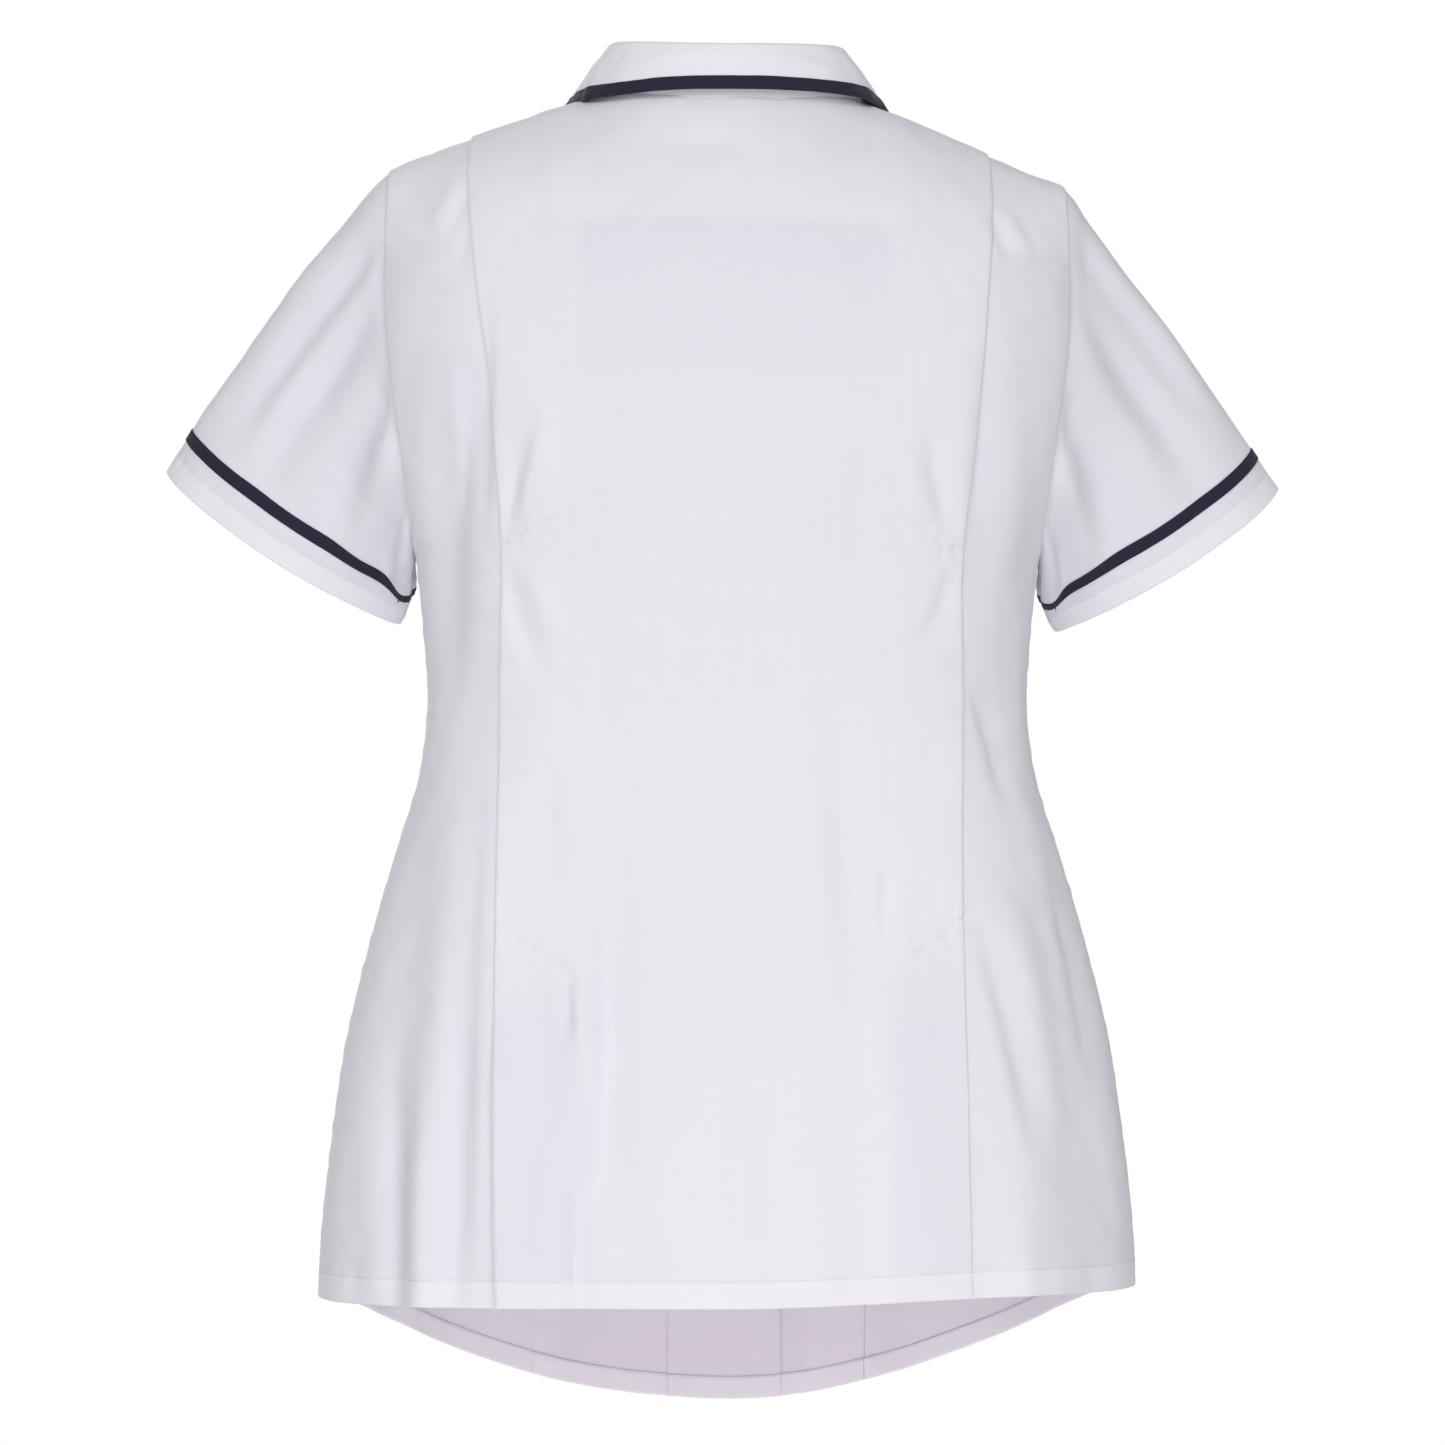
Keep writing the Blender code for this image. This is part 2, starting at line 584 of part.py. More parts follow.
def collar_net():
    """The collar from the neck seam up the stand, over the roll and down the fall."""
    turns = neck_turns()
    side = np.sign(turns)
    on_back = (np.abs(turns) <= math.pi / 2 + 1e-6)[:, None]
    front_turn = side * (math.pi - np.abs(turns))
    front_u = np.interp(front_turn, station_turns(FRONT), list(FRONT.stations.values()))
    back_u = np.interp(turns, station_turns(BACK), list(BACK.stations.values()))
    back_seam, back_out = cloth(BACK, back_u, np.zeros(len(turns)))
    front_seam, front_out = cloth(FRONT, front_u, np.zeros(len(turns)))
    seam = np.where(on_back, back_seam, front_seam)
    out = np.where(on_back, back_out, front_out)
    beside = np.isclose(np.abs(turns), math.pi / 2, atol=STEP)
    out[beside] = unit(back_out[beside] + front_out[beside])
    across = unit(np.cross(out, np.gradient(seam, axis=0)))
    outward = unit(seam * [1, 1, 0])
    up = np.array([0, 0, 1.0])
    lean = np.radians(collar_value("lean", turns))[:, None]
    rise = unit(up * np.cos(lean) - outward * np.sin(lean))
    base = seam + edge_gap(across, out, rise)
    height = collar_value("height", turns)[:, None]
    inner = base + rise * height
    roll = inner + outward * 2 * ROLL_RADIUS
    back_share = np.minimum(np.abs(turns) / (math.pi / 2), 1)[:, None] ** 2
    hang = (
        seam
        + outward * (FALL_OUT_BACK + (FALL_OUT_SIDE - FALL_OUT_BACK) * back_share)
        + up * (FALL_UP_BACK + (FALL_UP_SIDE - FALL_UP_BACK) * back_share)
    )
    edge_turn = side * turn_of(collar_value("fall_x", turns))
    edge_u = np.interp(edge_turn, station_turns(FRONT), list(FRONT.stations.values()))
    edge_v = collar_value("fall_v", turns)
    on_chest = ease(LIFTS_FROM, LIES_FROM, np.degrees(np.abs(turns)))[:, None]
    fall_length = np.linalg.norm(hang - roll, axis=-1) + edge_v * (TIP_X - NECK_HALF)
    tape_share = 1 - TAPE_WIDTH / fall_length
    fall = []
    shares = [tape_share * k / FALL_CELLS for k in range(FALL_CELLS + 1)] + [np.ones_like(turns)]
    for share in shares:
        part = share[:, None]
        hanging = roll + (hang - roll) * part + outward * FALL_CROWN * part * (1 - part)
        lying, way = cloth(FRONT, front_u + (edge_u - front_u) * share, edge_v * share)
        lying = lying + (roll - front_seam) * (1 - part) ** 1.5
        lying = lying + way * (FALL_LIFT * (1 - (1 - part) ** 3) + FALL_CROWN * 2 * part * (1 - part))
        fall.append(hanging * (1 - on_chest) + lying * on_chest)
    stand = [base + rise * height * k / STAND_CELLS for k in range(STAND_CELLS + 1)]
    bend = []
    for k in range(1, BEND_CELLS):
        angle = math.pi * k / BEND_CELLS
        aside = outward * ROLL_RADIUS * (1 - math.cos(angle))
        bend.append(inner + aside + rise * ROLL_RADIUS * math.sin(angle))
    return np.array(stand + bend + fall)


def collar(cloth_finish, tape_finish):
    net = collar_net()
    wall("collar", net, cloth_finish)
    out = unit(np.cross(np.gradient(net, axis=0), np.gradient(net, axis=1)))
    lift = WALL / 2 + SEAM + TAPE_WALL / 2
    wall("collar_tape", (net + out * lift)[-2:], tape_finish, TAPE_WALL)


def main():
    for thing in list(bpy.data.objects):
        bpy.data.objects.remove(thing)
    garment = bpy.data.collections.new("Maternity tunic")
    bpy.context.scene.collection.children.link(garment)
    white = material("White poly-cotton", (0.77, 0.75, 0.82), 0.85)
    navy = material("Navy tape", (0.013, 0.014, 0.037), 0.80)
    back_centre(white)
    back_sides(white)
    fronts(white)
    sleeve("left", -1, white, navy)
    sleeve("right", 1, white, navy)
    collar(white, navy)


main()
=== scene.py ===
"""Dresses the solids of a short-sleeved maternity tunic in sewn cloth, tape and thread.

Every panel is a thin closed shell on one shared body surface, the same one that its solid lies
on. A place there is given by u, from -1 at the left side seam to +1 at the right one, and v, from
0 at the shoulder and neck through 1 at the chest line to 2 at the hem. Metres, +Z up. The back
faces -Y and the left side is -X. Folds at pleats, hems and seams are turned as a maker turns them,
in the same piece of cloth.
"""

import math
from collections import namedtuple

import bpy
import numpy as np
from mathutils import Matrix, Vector


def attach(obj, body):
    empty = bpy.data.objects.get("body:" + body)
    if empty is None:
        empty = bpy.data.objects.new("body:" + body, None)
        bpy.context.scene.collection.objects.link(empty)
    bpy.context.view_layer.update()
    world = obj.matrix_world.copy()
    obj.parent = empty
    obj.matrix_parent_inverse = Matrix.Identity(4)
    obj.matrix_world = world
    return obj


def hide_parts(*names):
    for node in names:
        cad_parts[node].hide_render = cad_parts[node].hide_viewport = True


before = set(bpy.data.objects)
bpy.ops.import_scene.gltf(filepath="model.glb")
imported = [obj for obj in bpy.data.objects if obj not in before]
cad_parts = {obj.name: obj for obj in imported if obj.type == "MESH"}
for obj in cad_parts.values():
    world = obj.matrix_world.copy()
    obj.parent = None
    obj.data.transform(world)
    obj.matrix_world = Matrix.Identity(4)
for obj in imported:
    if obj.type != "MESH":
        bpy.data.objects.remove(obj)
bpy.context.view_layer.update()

bl_info = {
    "name": "Maternity Tunic",
    "version": (1, 0, 0),
    "blender": (4, 5, 0),
    "location": "3D View > Sidebar > Tunic",
    "description": "Sews a short-sleeved maternity tunic with pleats, collar, tape and stitching",
    "category": "Object",
}

# The garment's own sizes, which its solids have too. Five lie closer to the photo than the solids
# do: LAYER, FALL_OUT_SIDE, LIFTS_FROM, LIES_FROM and the collar's lines
LAYER = 0.0010  # from the middle of one layer of cloth to the middle of the next, pressed flat
TAPE_WIDTH = 0.0075
NECK_HALF = 0.082
NECK_BACK = 0.062
NECK_FRONT = 0.080
NECK_DROP_BACK = 0.004
NECK_DROP_FRONT = 0.084
NECK_SIDE_Z = 0.004
TIP_X = 0.203
TIP_Z = -0.042
CHEST_Z = -0.130
UNDERARM_Z = -0.272
HEM_SIDE = -0.713
HEM_BACK = -0.709
HEM_FRONT = -0.793
HEM_HALF = 0.245
HEM_CURVE = 2.1
SQUARE = 2.3  # the sections are rounded boxes: 2 would be an ellipse
NECK_OUT = 0.45
SHOULDER_OUT = 1.00
NECK_DOWN = 0.90
SHOULDER_DOWN = 0.10
TOP_REACH = 0.42
CHEST_REACH = 0.36
SPREAD = 0.35
ARM_ROUND = 0.40
ARM_NARROW = 0.25
ARM_NARROW_FROM = 0.45
ARM_NARROW_TO = 0.70
RIGHT_DROP = 0.009
RIGHT_RISE = 0.016
LEAN_REACH = 0.200
CUFF_CENTRE = (0.272, 0.045, -0.265)
CUFF_LONG = 0.081
CUFF_DEEP = 0.040
CUFF_OUT = (0.837, 0.0, 0.547)
CUFF_TILT = 0.25
CUFF_TO_TAPE = 0.023
ALONG_BODY = 0.4
LEAVE_PULL = 0.7
CUFF_PULL = 0.9
FALL_OUT_BACK = 0.0070
FALL_OUT_SIDE = 0.0090
FALL_UP_BACK = 0.0045
FALL_UP_SIDE = -0.0010
FALL_LIFT = 0.0044
FALL_CROWN = 0.0060
ROLL_RADIUS = 0.0024
COLLAR_GAP = 0.0015
LIFTS_FROM = 76  # degrees round from the back, where the fall starts to turn on to the chest
LIES_FROM = 118  # and where it lies on it
RETURN_EASE_U = 0.12
UNDERARM_V = 1 + (CHEST_Z - UNDERARM_Z) / (CHEST_Z - HEM_SIDE)

Level = namedtuple("Level", "z side back front")
LEVELS = (
    Level(-0.040, 0.2035, 0.085, 0.070),
    Level(-0.100, 0.2050, 0.107, 0.098),
    Level(-0.130, 0.2040, 0.113, 0.109),
    Level(-0.170, 0.2000, 0.116, 0.121),
    Level(-0.210, 0.1945, 0.115, 0.128),
    Level(-0.240, 0.1905, 0.112, 0.131),
    Level(-0.272, 0.1865, 0.108, 0.132),
    Level(-0.320, 0.1815, 0.103, 0.131),
    Level(-0.360, 0.1795, 0.099, 0.131),
    Level(-0.400, 0.1840, 0.098, 0.135),
    Level(-0.450, 0.1990, 0.105, 0.143),
    Level(-0.500, 0.2135, 0.115, 0.151),
    Level(-0.560, 0.2280, 0.128, 0.159),
    Level(-0.620, 0.2370, 0.139, 0.165),
    Level(-0.680, 0.2435, 0.147, 0.169),
    Level(-0.720, 0.2455, 0.150, 0.171),
    Level(-0.800, 0.2470, 0.153, 0.173),
)
BackLine = namedtuple("BackLine", "z fold_left inner_left neck_left neck_right inner_right fold_right")
BACK_LINES = (
    BackLine(0.000, -0.1480, -0.1050, -0.082, 0.082, 0.1070, 0.1520),
    BackLine(-0.085, -0.1480, -0.1025, -0.088, 0.088, 0.1050, 0.1530),
    BackLine(-0.200, -0.1360, -0.0955, -0.078, 0.082, 0.1005, 0.1455),
    BackLine(-0.260, -0.1320, -0.0915, -0.074, 0.076, 0.0955, 0.1385),
    BackLine(-0.360, -0.1325, -0.0905, -0.072, 0.074, 0.0945, 0.1375),
    BackLine(-0.500, -0.1330, -0.0895, -0.070, 0.074, 0.0925, 0.1370),
    BackLine(-0.600, -0.1335, -0.0800, -0.060, 0.074, 0.0955, 0.1390),
    BackLine(-0.720, -0.1325, -0.0760, -0.056, 0.074, 0.0975, 0.1410),
)
FrontLine = namedtuple(
    "FrontLine", "z seam_left neck_left facing lap_right middle lap_left neck_right seam_right"
)
FRONT_LINES = (
    FrontLine(0.000, -0.135, -0.082, -0.042, -0.020, 0.000, 0.022, 0.082, 0.135),
    FrontLine(-0.130, -0.114, -0.088, -0.041, -0.020, 0.000, 0.023, 0.088, 0.114),
    FrontLine(-0.240, -0.101, -0.080, -0.040, -0.020, 0.001, 0.024, 0.080, 0.100),
    FrontLine(-0.360, -0.099, -0.076, -0.038, -0.020, 0.002, 0.027, 0.074, 0.094),
    FrontLine(-0.560, -0.112, -0.080, -0.037, -0.020, 0.004, 0.031, 0.070, 0.089),
    FrontLine(-0.800, -0.124, -0.084, -0.037, -0.020, 0.006, 0.034, 0.068, 0.086),
)
BACK_STATIONS = {
    "side_left": -1.0, "fold_left": -0.62, "inner_left": -0.42, "neck_left": -0.30,
    "neck_right": 0.30, "inner_right": 0.42, "fold_right": 0.62, "side_right": 1.0,
}
FRONT_STATIONS = {
    "side_left": -1.0, "seam_left": -0.60, "neck_left": -0.38, "facing": -0.20,
    "lap_right": -0.10, "middle": 0.0, "lap_left": 0.12, "neck_right": 0.38,
    "seam_right": 0.60, "side_right": 1.0,
}

# The large soft folds that the solids have too: less than 0 is a trough
Fold = namedtuple("Fold", "x_top z_top x_foot z_foot height width")
BACK_FOLDS = (
    Fold(-0.150, -0.330, -0.178, -0.730, 0.0050, 0.024),
    Fold(-0.172, -0.400, -0.215, -0.730, -0.0045, 0.022),
    Fold(-0.068, -0.380, -0.080, -0.730, -0.0035, 0.026),
    Fold(-0.010, -0.420, -0.015, -0.730, 0.0025, 0.034),
    Fold(0.055, -0.360, 0.088, -0.730, -0.0035, 0.026),
    Fold(0.148, -0.360, 0.185, -0.730, 0.0045, 0.026),
    Fold(0.180, -0.420, 0.220, -0.730, -0.0040, 0.022),
)
FRONT_FOLDS = (
    Fold(-0.120, -0.300, -0.165, -0.780, 0.0055, 0.028),
    Fold(-0.085, -0.340, -0.105, -0.800, -0.0050, 0.026),
    Fold(-0.030, -0.380, -0.050, -0.820, 0.0030, 0.030),
    Fold(0.075, -0.340, 0.120, -0.800, -0.0045, 0.028),
    Fold(0.120, -0.300, 0.160, -0.780, 0.0055, 0.028),
    Fold(0.165, -0.400, 0.205, -0.740, -0.0040, 0.024),
)

# The finer creases of the cloth: bow is how far a crease's middle swings aside, and lean makes
# one of its flanks steeper than the other
Crease = namedtuple("Crease", "x_top z_top x_foot z_foot height width bow lean")
BACK_CREASES = (
    # Beside the left pleat, from the shoulder blade to the waist
    Crease(-0.151, -0.140, -0.163, -0.275, -0.0026, 0.0075, 0.003, 0.3),
    Crease(-0.139, -0.105, -0.145, -0.280, -0.0022, 0.0060, 0.001, -0.3),
    Crease(-0.166, -0.165, -0.168, -0.375, -0.0046, 0.0120, 0.000, 0.0),
    # The fullness below the waist, on the left side panel
    Crease(-0.1365, -0.350, -0.1500, -0.760, 0.0030, 0.0100, 0.002, 0.4),
    Crease(-0.157, -0.480, -0.164, -0.790, -0.0034, 0.0085, 0.002, 0.3),
    Crease(-0.176, -0.560, -0.177, -0.800, 0.0026, 0.0070, 0.001, -0.3),
    Crease(-0.198, -0.540, -0.191, -0.790, -0.0034, 0.0085, -0.002, 0.3),
    Crease(-0.216, -0.560, -0.212, -0.790, 0.0018, 0.0090, 0.002, 0.0),
    # The centre panel, beside and below its upper stitch line
    Crease(-0.105, -0.175, -0.129, -0.268, 0.0024, 0.0085, 0.004, 0.4),
    Crease(-0.120, -0.200, -0.127, -0.268, -0.0018, 0.0055, -0.002, 0.3),
    Crease(-0.130, -0.268, -0.106, -0.350, -0.0018, 0.0070, -0.004, 0.3),
    Crease(-0.118, -0.268, -0.094, -0.330, 0.0012, 0.0080, -0.003, 0.0),
    Crease(0.118, -0.185, 0.134, -0.268, -0.0016, 0.0065, -0.003, 0.2),
    Crease(0.100, -0.190, 0.121, -0.262, 0.0014, 0.0080, -0.003, 0.0),
    Crease(0.134, -0.270, 0.110, -0.330, -0.0014, 0.0065, 0.003, 0.2),
    # The long soft folds of the centre panel
    Crease(-0.0665, -0.360, -0.0800, -0.740, -0.0026, 0.0100, 0.003, 0.4),
    Crease(-0.083, -0.400, -0.095, -0.720, 0.0016, 0.0100, 0.002, 0.0),
    Crease(-0.1065, -0.385, -0.1040, -0.485, -0.0014, 0.0080, 0.001, 0.0),
    Crease(-0.016, -0.380, -0.016, -0.640, -0.0013, 0.0130, -0.003, 0.0),
    Crease(0.062, -0.330, 0.090, -0.560, -0.0022, 0.0100, -0.003, -0.4),
    Crease(0.048, -0.360, 0.072, -0.620, 0.0014, 0.0120, -0.003, 0.0),
    Crease(0.025, -0.560, 0.026, -0.720, -0.0014, 0.0110, 0.001, 0.0),
    Crease(0.055, -0.600, 0.058, -0.760, 0.0012, 0.0120, 0.000, 0.0),
    # What the lower stitch lines pull up
    Crease(-0.0955, -0.510, -0.0930, -0.562, -0.0024, 0.0040, 0.001, 0.3),
    Crease(-0.0880, -0.515, -0.0850, -0.575, 0.0014, 0.0050, 0.001, 0.0),
    Crease(-0.116, -0.505, -0.103, -0.640, -0.0018, 0.0090, 0.003, 0.3),
    Crease(-0.090, -0.600, -0.087, -0.760, -0.0028, 0.0070, 0.001, 0.3),
    Crease(-0.102, -0.560, -0.107, -0.760, 0.0016, 0.0090, 0.001, 0.0),
    Crease(0.0915, -0.440, 0.0890, -0.535, -0.0020, 0.0060, 0.002, 0.3),
    Crease(0.100, -0.455, 0.099, -0.520, 0.0012, 0.0060, 0.001, 0.0),
    # The right side panel
    Crease(0.151, -0.120, 0.142, -0.270, -0.0018, 0.0070, 0.002, 0.2),
    Crease(0.168, -0.170, 0.160, -0.310, 0.0014, 0.0090, 0.002, 0.0),
    Crease(0.141, -0.335, 0.168, -0.430, -0.0022, 0.0080, 0.002, 0.3),
    Crease(0.142, -0.470, 0.182, -0.650, -0.0034, 0.0100, 0.004, 0.4),
    Crease(0.158, -0.455, 0.200, -0.640, 0.0020, 0.0100, 0.004, 0.0),
    Crease(0.188, -0.430, 0.224, -0.620, -0.0024, 0.0090, 0.003, 0.3),
    Crease(0.168, -0.620, 0.172, -0.790, 0.0018, 0.0100, 0.001, 0.0),
    # Down from the pleats' tops
    Crease(-0.149, -0.050, -0.169, -0.090, -0.0012, 0.0042, 0.001, 0.2),
    Crease(-0.158, -0.048, -0.178, -0.084, 0.0009, 0.0050, 0.001, 0.0),
    Crease(-0.152, -0.066, -0.160, -0.112, -0.0009, 0.0045, 0.001, 0.0),
    Crease(0.153, -0.056, 0.170, -0.098, -0.0011, 0.0045, -0.001, 0.2),
    Crease(0.163, -0.056, 0.182, -0.092, 0.0009, 0.0050, -0.001, 0.0),
    # Across the shoulder blades
    Crease(-0.060, -0.030, 0.030, -0.036, -0.0008, 0.0080, 0.003, 0.0),
    Crease(-0.100, -0.060, -0.060, -0.110, -0.0009, 0.0100, 0.004, 0.0),
    Crease(0.104, -0.060, 0.070, -0.115, -0.0009, 0.0100, -0.004, 0.0),
)
FRONT_CREASES = (
    # From the bust down each side panel
    Crease(-0.150, -0.150, -0.128, -0.250, -0.0022, 0.0080, 0.003, 0.2),
    Crease(-0.165, -0.200, -0.138, -0.290, 0.0018, 0.0080, 0.003, 0.0),
    Crease(0.152, -0.150, 0.126, -0.255, -0.0020, 0.0080, -0.003, 0.2),
    Crease(0.168, -0.210, 0.136, -0.300, 0.0016, 0.0090, -0.003, 0.0),
    Crease(-0.128, -0.330, -0.150, -0.560, -0.0024, 0.0100, 0.003, 0.4),
    Crease(-0.150, -0.400, -0.185, -0.780, 0.0028, 0.0110, 0.004, 0.3),
    Crease(-0.172, -0.480, -0.206, -0.790, -0.0028, 0.0100, 0.003, 0.3),
    Crease(0.130, -0.340, 0.146, -0.600, -0.0026, 0.0100, -0.003, 0.4),
    Crease(0.150, -0.420, 0.180, -0.780, 0.0026, 0.0110, 0.003, 0.3),
    Crease(0.176, -0.500, 0.210, -0.790, -0.0026, 0.0100, 0.003, 0.3),
    # The centre panels
    Crease(-0.060, -0.300, -0.082, -0.560, -0.0022, 0.0110, 0.003, 0.3),
    Crease(-0.078, -0.420, -0.100, -0.860, 0.0022, 0.0110, 0.002, 0.0),
    Crease(-0.056, -0.520, -0.064, -0.880, -0.0020, 0.0100, 0.002, 0.3),
    Crease(0.056, -0.310, 0.072, -0.600, -0.0020, 0.0110, -0.003, 0.3),
    Crease(0.070, -0.480, 0.100, -0.860, 0.0022, 0.0110, 0.002, 0.0),
    Crease(0.048, -0.560, 0.052, -0.880, -0.0020, 0.0100, 0.001, 0.3),
    Crease(-0.080, -0.110, -0.040, -0.180, -0.0014, 0.0090, 0.003, 0.2),
    Crease(0.082, -0.115, 0.042, -0.190, -0.0014, 0.0090, -0.003, 0.2),
    Crease(-0.090, -0.205, -0.030, -0.235, -0.0010, 0.0100, 0.003, 0.0),
    Crease(0.088, -0.210, 0.034, -0.244, -0.0010, 0.0100, -0.003, 0.0),
    Crease(0.010, -0.330, 0.012, -0.520, -0.0012, 0.0120, 0.002, 0.0),
)

# A face's name is also its column in the levels
Face = namedtuple("Face", "name way lines stations arm neck_depth neck_drop folds creases")
BACK = Face(
    "back", -1, BACK_LINES, BACK_STATIONS, 0.050, NECK_BACK, NECK_DROP_BACK, BACK_FOLDS,
    BACK_CREASES,
)
FRONT = Face(
    "front", 1, FRONT_LINES, FRONT_STATIONS, 0.047, NECK_FRONT, NECK_DROP_FRONT, FRONT_FOLDS,
    FRONT_CREASES,
)

CollarLine = namedtuple("CollarLine", "turn height lean fall_x fall_v")
COLLAR_LINES = (
    CollarLine(0, 0.0272, 4, 0.094, 0.00),
    CollarLine(45, 0.0285, 13, 0.094, 0.00),
    CollarLine(85, 0.0308, 26, 0.094, 0.00),
    CollarLine(120, 0.0260, 26, 0.091, 0.34),
    CollarLine(150, 0.0150, 29, 0.075, 0.66),
    CollarLine(180, 0.0060, 32, 0.046, 0.90),
)

# Sleeve folds: turn is degrees round from the shoulder, less than 0 to the front, and the shares
# run from 0 at the armhole to 1 at the cuff
SleeveFold = namedtuple("SleeveFold", "turn drift start stop height width")
LEFT_SLEEVE_FOLDS = (
    SleeveFold(180, 0, -0.10, 1.60, 0.0045, 26),
    SleeveFold(38, 8, -0.10, 0.85, -0.0030, 9),
    SleeveFold(62, 10, 0.00, 0.95, -0.0036, 10),
    SleeveFold(50, 8, -0.10, 0.90, 0.0024, 9),
    SleeveFold(96, 14, -0.20, 0.90, -0.0040, 12),
    SleeveFold(118, 12, -0.10, 0.95, 0.0026, 11),
    SleeveFold(142, 6, -0.20, 0.80, -0.0030, 10),
    SleeveFold(-36, -8, -0.10, 0.80, -0.0028, 9),
    SleeveFold(-58, -8, -0.10, 0.90, 0.0024, 10),
    SleeveFold(-84, -10, -0.10, 0.95, -0.0036, 11),
    SleeveFold(-112, -10, -0.20, 0.90, 0.0026, 11),
    SleeveFold(-136, -8, -0.10, 0.85, -0.0032, 10),
)
RIGHT_SLEEVE_FOLDS = (
    SleeveFold(180, 0, -0.10, 1.60, 0.0045, 26),
    SleeveFold(0, 0, -0.30, 1.60, -0.0050, 42),
    SleeveFold(34, 8, -0.10, 0.80, -0.0024, 10),
    SleeveFold(58, 10, 0.00, 0.95, -0.0030, 11),
    SleeveFold(72, 8, -0.10, 0.90, 0.0020, 10),
    SleeveFold(102, 12, -0.20, 0.95, -0.0036, 12),
    SleeveFold(124, 10, -0.10, 0.90, 0.0024, 11),
    SleeveFold(146, 6, -0.20, 0.80, -0.0028, 10),
    SleeveFold(-40, -8, -0.10, 0.85, -0.0026, 10),
    SleeveFold(-66, -8, -0.10, 0.90, 0.0022, 11),
    SleeveFold(-92, -10, -0.10, 0.95, -0.0034, 12),
    SleeveFold(-120, -10, -0.20, 0.90, 0.0024, 11),
    SleeveFold(-142, -8, -0.10, 0.85, -0.0028, 10),
)

# The stitched lines across the pleats, as x and z
PLEAT_LINES = (
    ((-0.132, -0.266), (-0.091, -0.245)),
    ((0.137, -0.270), (0.103, -0.249)),
    ((-0.133, -0.487), (-0.117, -0.4995), (-0.101, -0.509), (-0.0875, -0.521)),
    ((0.138, -0.486), (0.092, -0.523)),
)

# The rounds of the shoulders: each rises over the first two widths and falls over the last two
SHOULDER_CROWN = 0.0030
RIGHT_CROWN = 0.3  # of the left one
CROWN_X = (0.115, 0.160, 0.198, 0.226)
CROWN_Z = (-0.105, -0.040)

# The sleeves
LEFT_CUFF_RISE = 0.0030
UNDER_REACH = 0.6  # radians each side of the underarm
UNDER_STRAIGHT = 0.9  # how much less a sleeve follows the body there
CUFF_POINT = 1.35  # 1 is an oval cuff, and more is pointed where the arm's top and bottom would be
RAIL_POINTS = 90
SLEEVE_ROWS = 68
ROWS_UNDER_STITCHES = (0.0, 0.0008, 0.0030, 0.0055, 0.0080, 0.0105)  # metres up from the cuff
ROWS_OVER_STITCHES = (0.0155, 0.0180, 0.0205)
ROWS_AT_STITCHES = (-0.0008, 0.0, 0.0008)  # metres up from the stitching
CUFF_ROWS = len(ROWS_UNDER_STITCHES + ROWS_AT_STITCHES + ROWS_OVER_STITCHES)
SLEEVE_TAPE_ROWS = 5
TURNED_ROWS = 8
HEAD_DIVE = 0.0015  # how far the sleeve dips into the armhole seam
HEAD_REACH = 0.010
SLEEVE_SEAM = 0.0004  # from the armhole's edge to the sleeve's
SEAM_TUCK = 0.0030  # how far cloth goes on past a seam, inside the garment
SEAM_TUCK_IN = 0.0012

# The collar
COLLAR_LAYERS = 1.7  # two layers of cloth, pressed
LEFT_DROOP = 0.0036  # how much lower the fall hangs at the left of the back
DROOP_GROWS = (8, 56)  # degrees round to the left
TO_THE_FRONT = (70, 110)  # degrees round, over which the back's ways turn into the front's
TAPE_SHOWN = 0.0066  # the collar tape's width on the outside: the rest turns under the edge
TAPE_AIR = 0.0001  # between the tape and the cloth, so that the two don't touch
COLLAR_AROUND = 231
STAND_SEAM = 0.0008  # from the neck seam out to the stand
STAND_UP = 0.0004
STAND_ROWS = 8
ROLL_ROWS = 8
FALL_ROWS = 16
ROLL_FADE = 1.5  # how fast the fall comes down from the roll to the chest
TAPE_ROWS = 4

# The slow unevenness of washed cloth, as waves through space. Each is a sum of plain waves
RIPPLE_PARTS = 6
RIPPLE_LENGTHS = (0.7, 1.5)  # of the wave's own length
Wave = namedtuple("Wave", "length height seed")
BODY_WAVES = (Wave(0.055, 0.00045, 3), Wave(0.021, 0.00016, 7))
SLEEVE_WAVES = (Wave(0.05, 0.0004, 11), Wave(0.02, 0.00012, 13))
COLLAR_WAVES = (Wave(0.030, 0.0004, 17), Wave(0.012, 0.00016, 19))

# The puckers beside sewing, and how far from it they reach
PUCKER_WAVE = 0.0105
PUCKER_STRETCH = 0.25  # they run on across a seam: that way the wave is this much slower
HEM_PUCKERS = 0.006
SEAM_PUCKERS = 0.004
TOP_PUCKERED = 0.6  # of what the hem has
FRONT_SEAM_PUCKERS = 0.005
FRONT_SEAM_PUCKERED = 1.3
SLEEVE_HEAD_PUCKERED = 0.8
PLEAT_DRAWN_IN = 0.0011
PLEAT_DRAWN_REACH = 0.0017
PLEAT_PUCKERS = (Wave(0.0075, 0.00050, 31),)
PLEAT_PUCKERS_REACH = 0.009

# How the cloth meets its seams and lies in layers
CREASES_END_U = 0.90
ARMHOLE_ROLL = 0.0008
ARMHOLE_ROLL_REACH = 0.0014
ARMHOLE_ROLL_V = 0.05
FOLD_TOP_WIDTH = 0.6  # of a large fold's width at its foot
FOLD_FULL = 0.55  # how far down a large fold has its whole height
SLEEVE_FOLDS_FULL = 0.12  # how far down the sleeve its folds have theirs
PRESSED = 0.30  # of the distance between layers, where a seam holds them
PRESSED_V = 0.12
EDGE_ROWS = (0.0, 0.0003, 0.0006, 0.0010)  # metres from a seam
EDGE_ROLL = (-0.00050, -0.00024, -0.00008, 0.0)  # how far out the cloth lies there
HEM_AIR = 0.0003  # between the two layers of a turned hem
HEM_ROUND = (45, 90, 135)  # degrees round the edge of a turned sleeve hem or tape
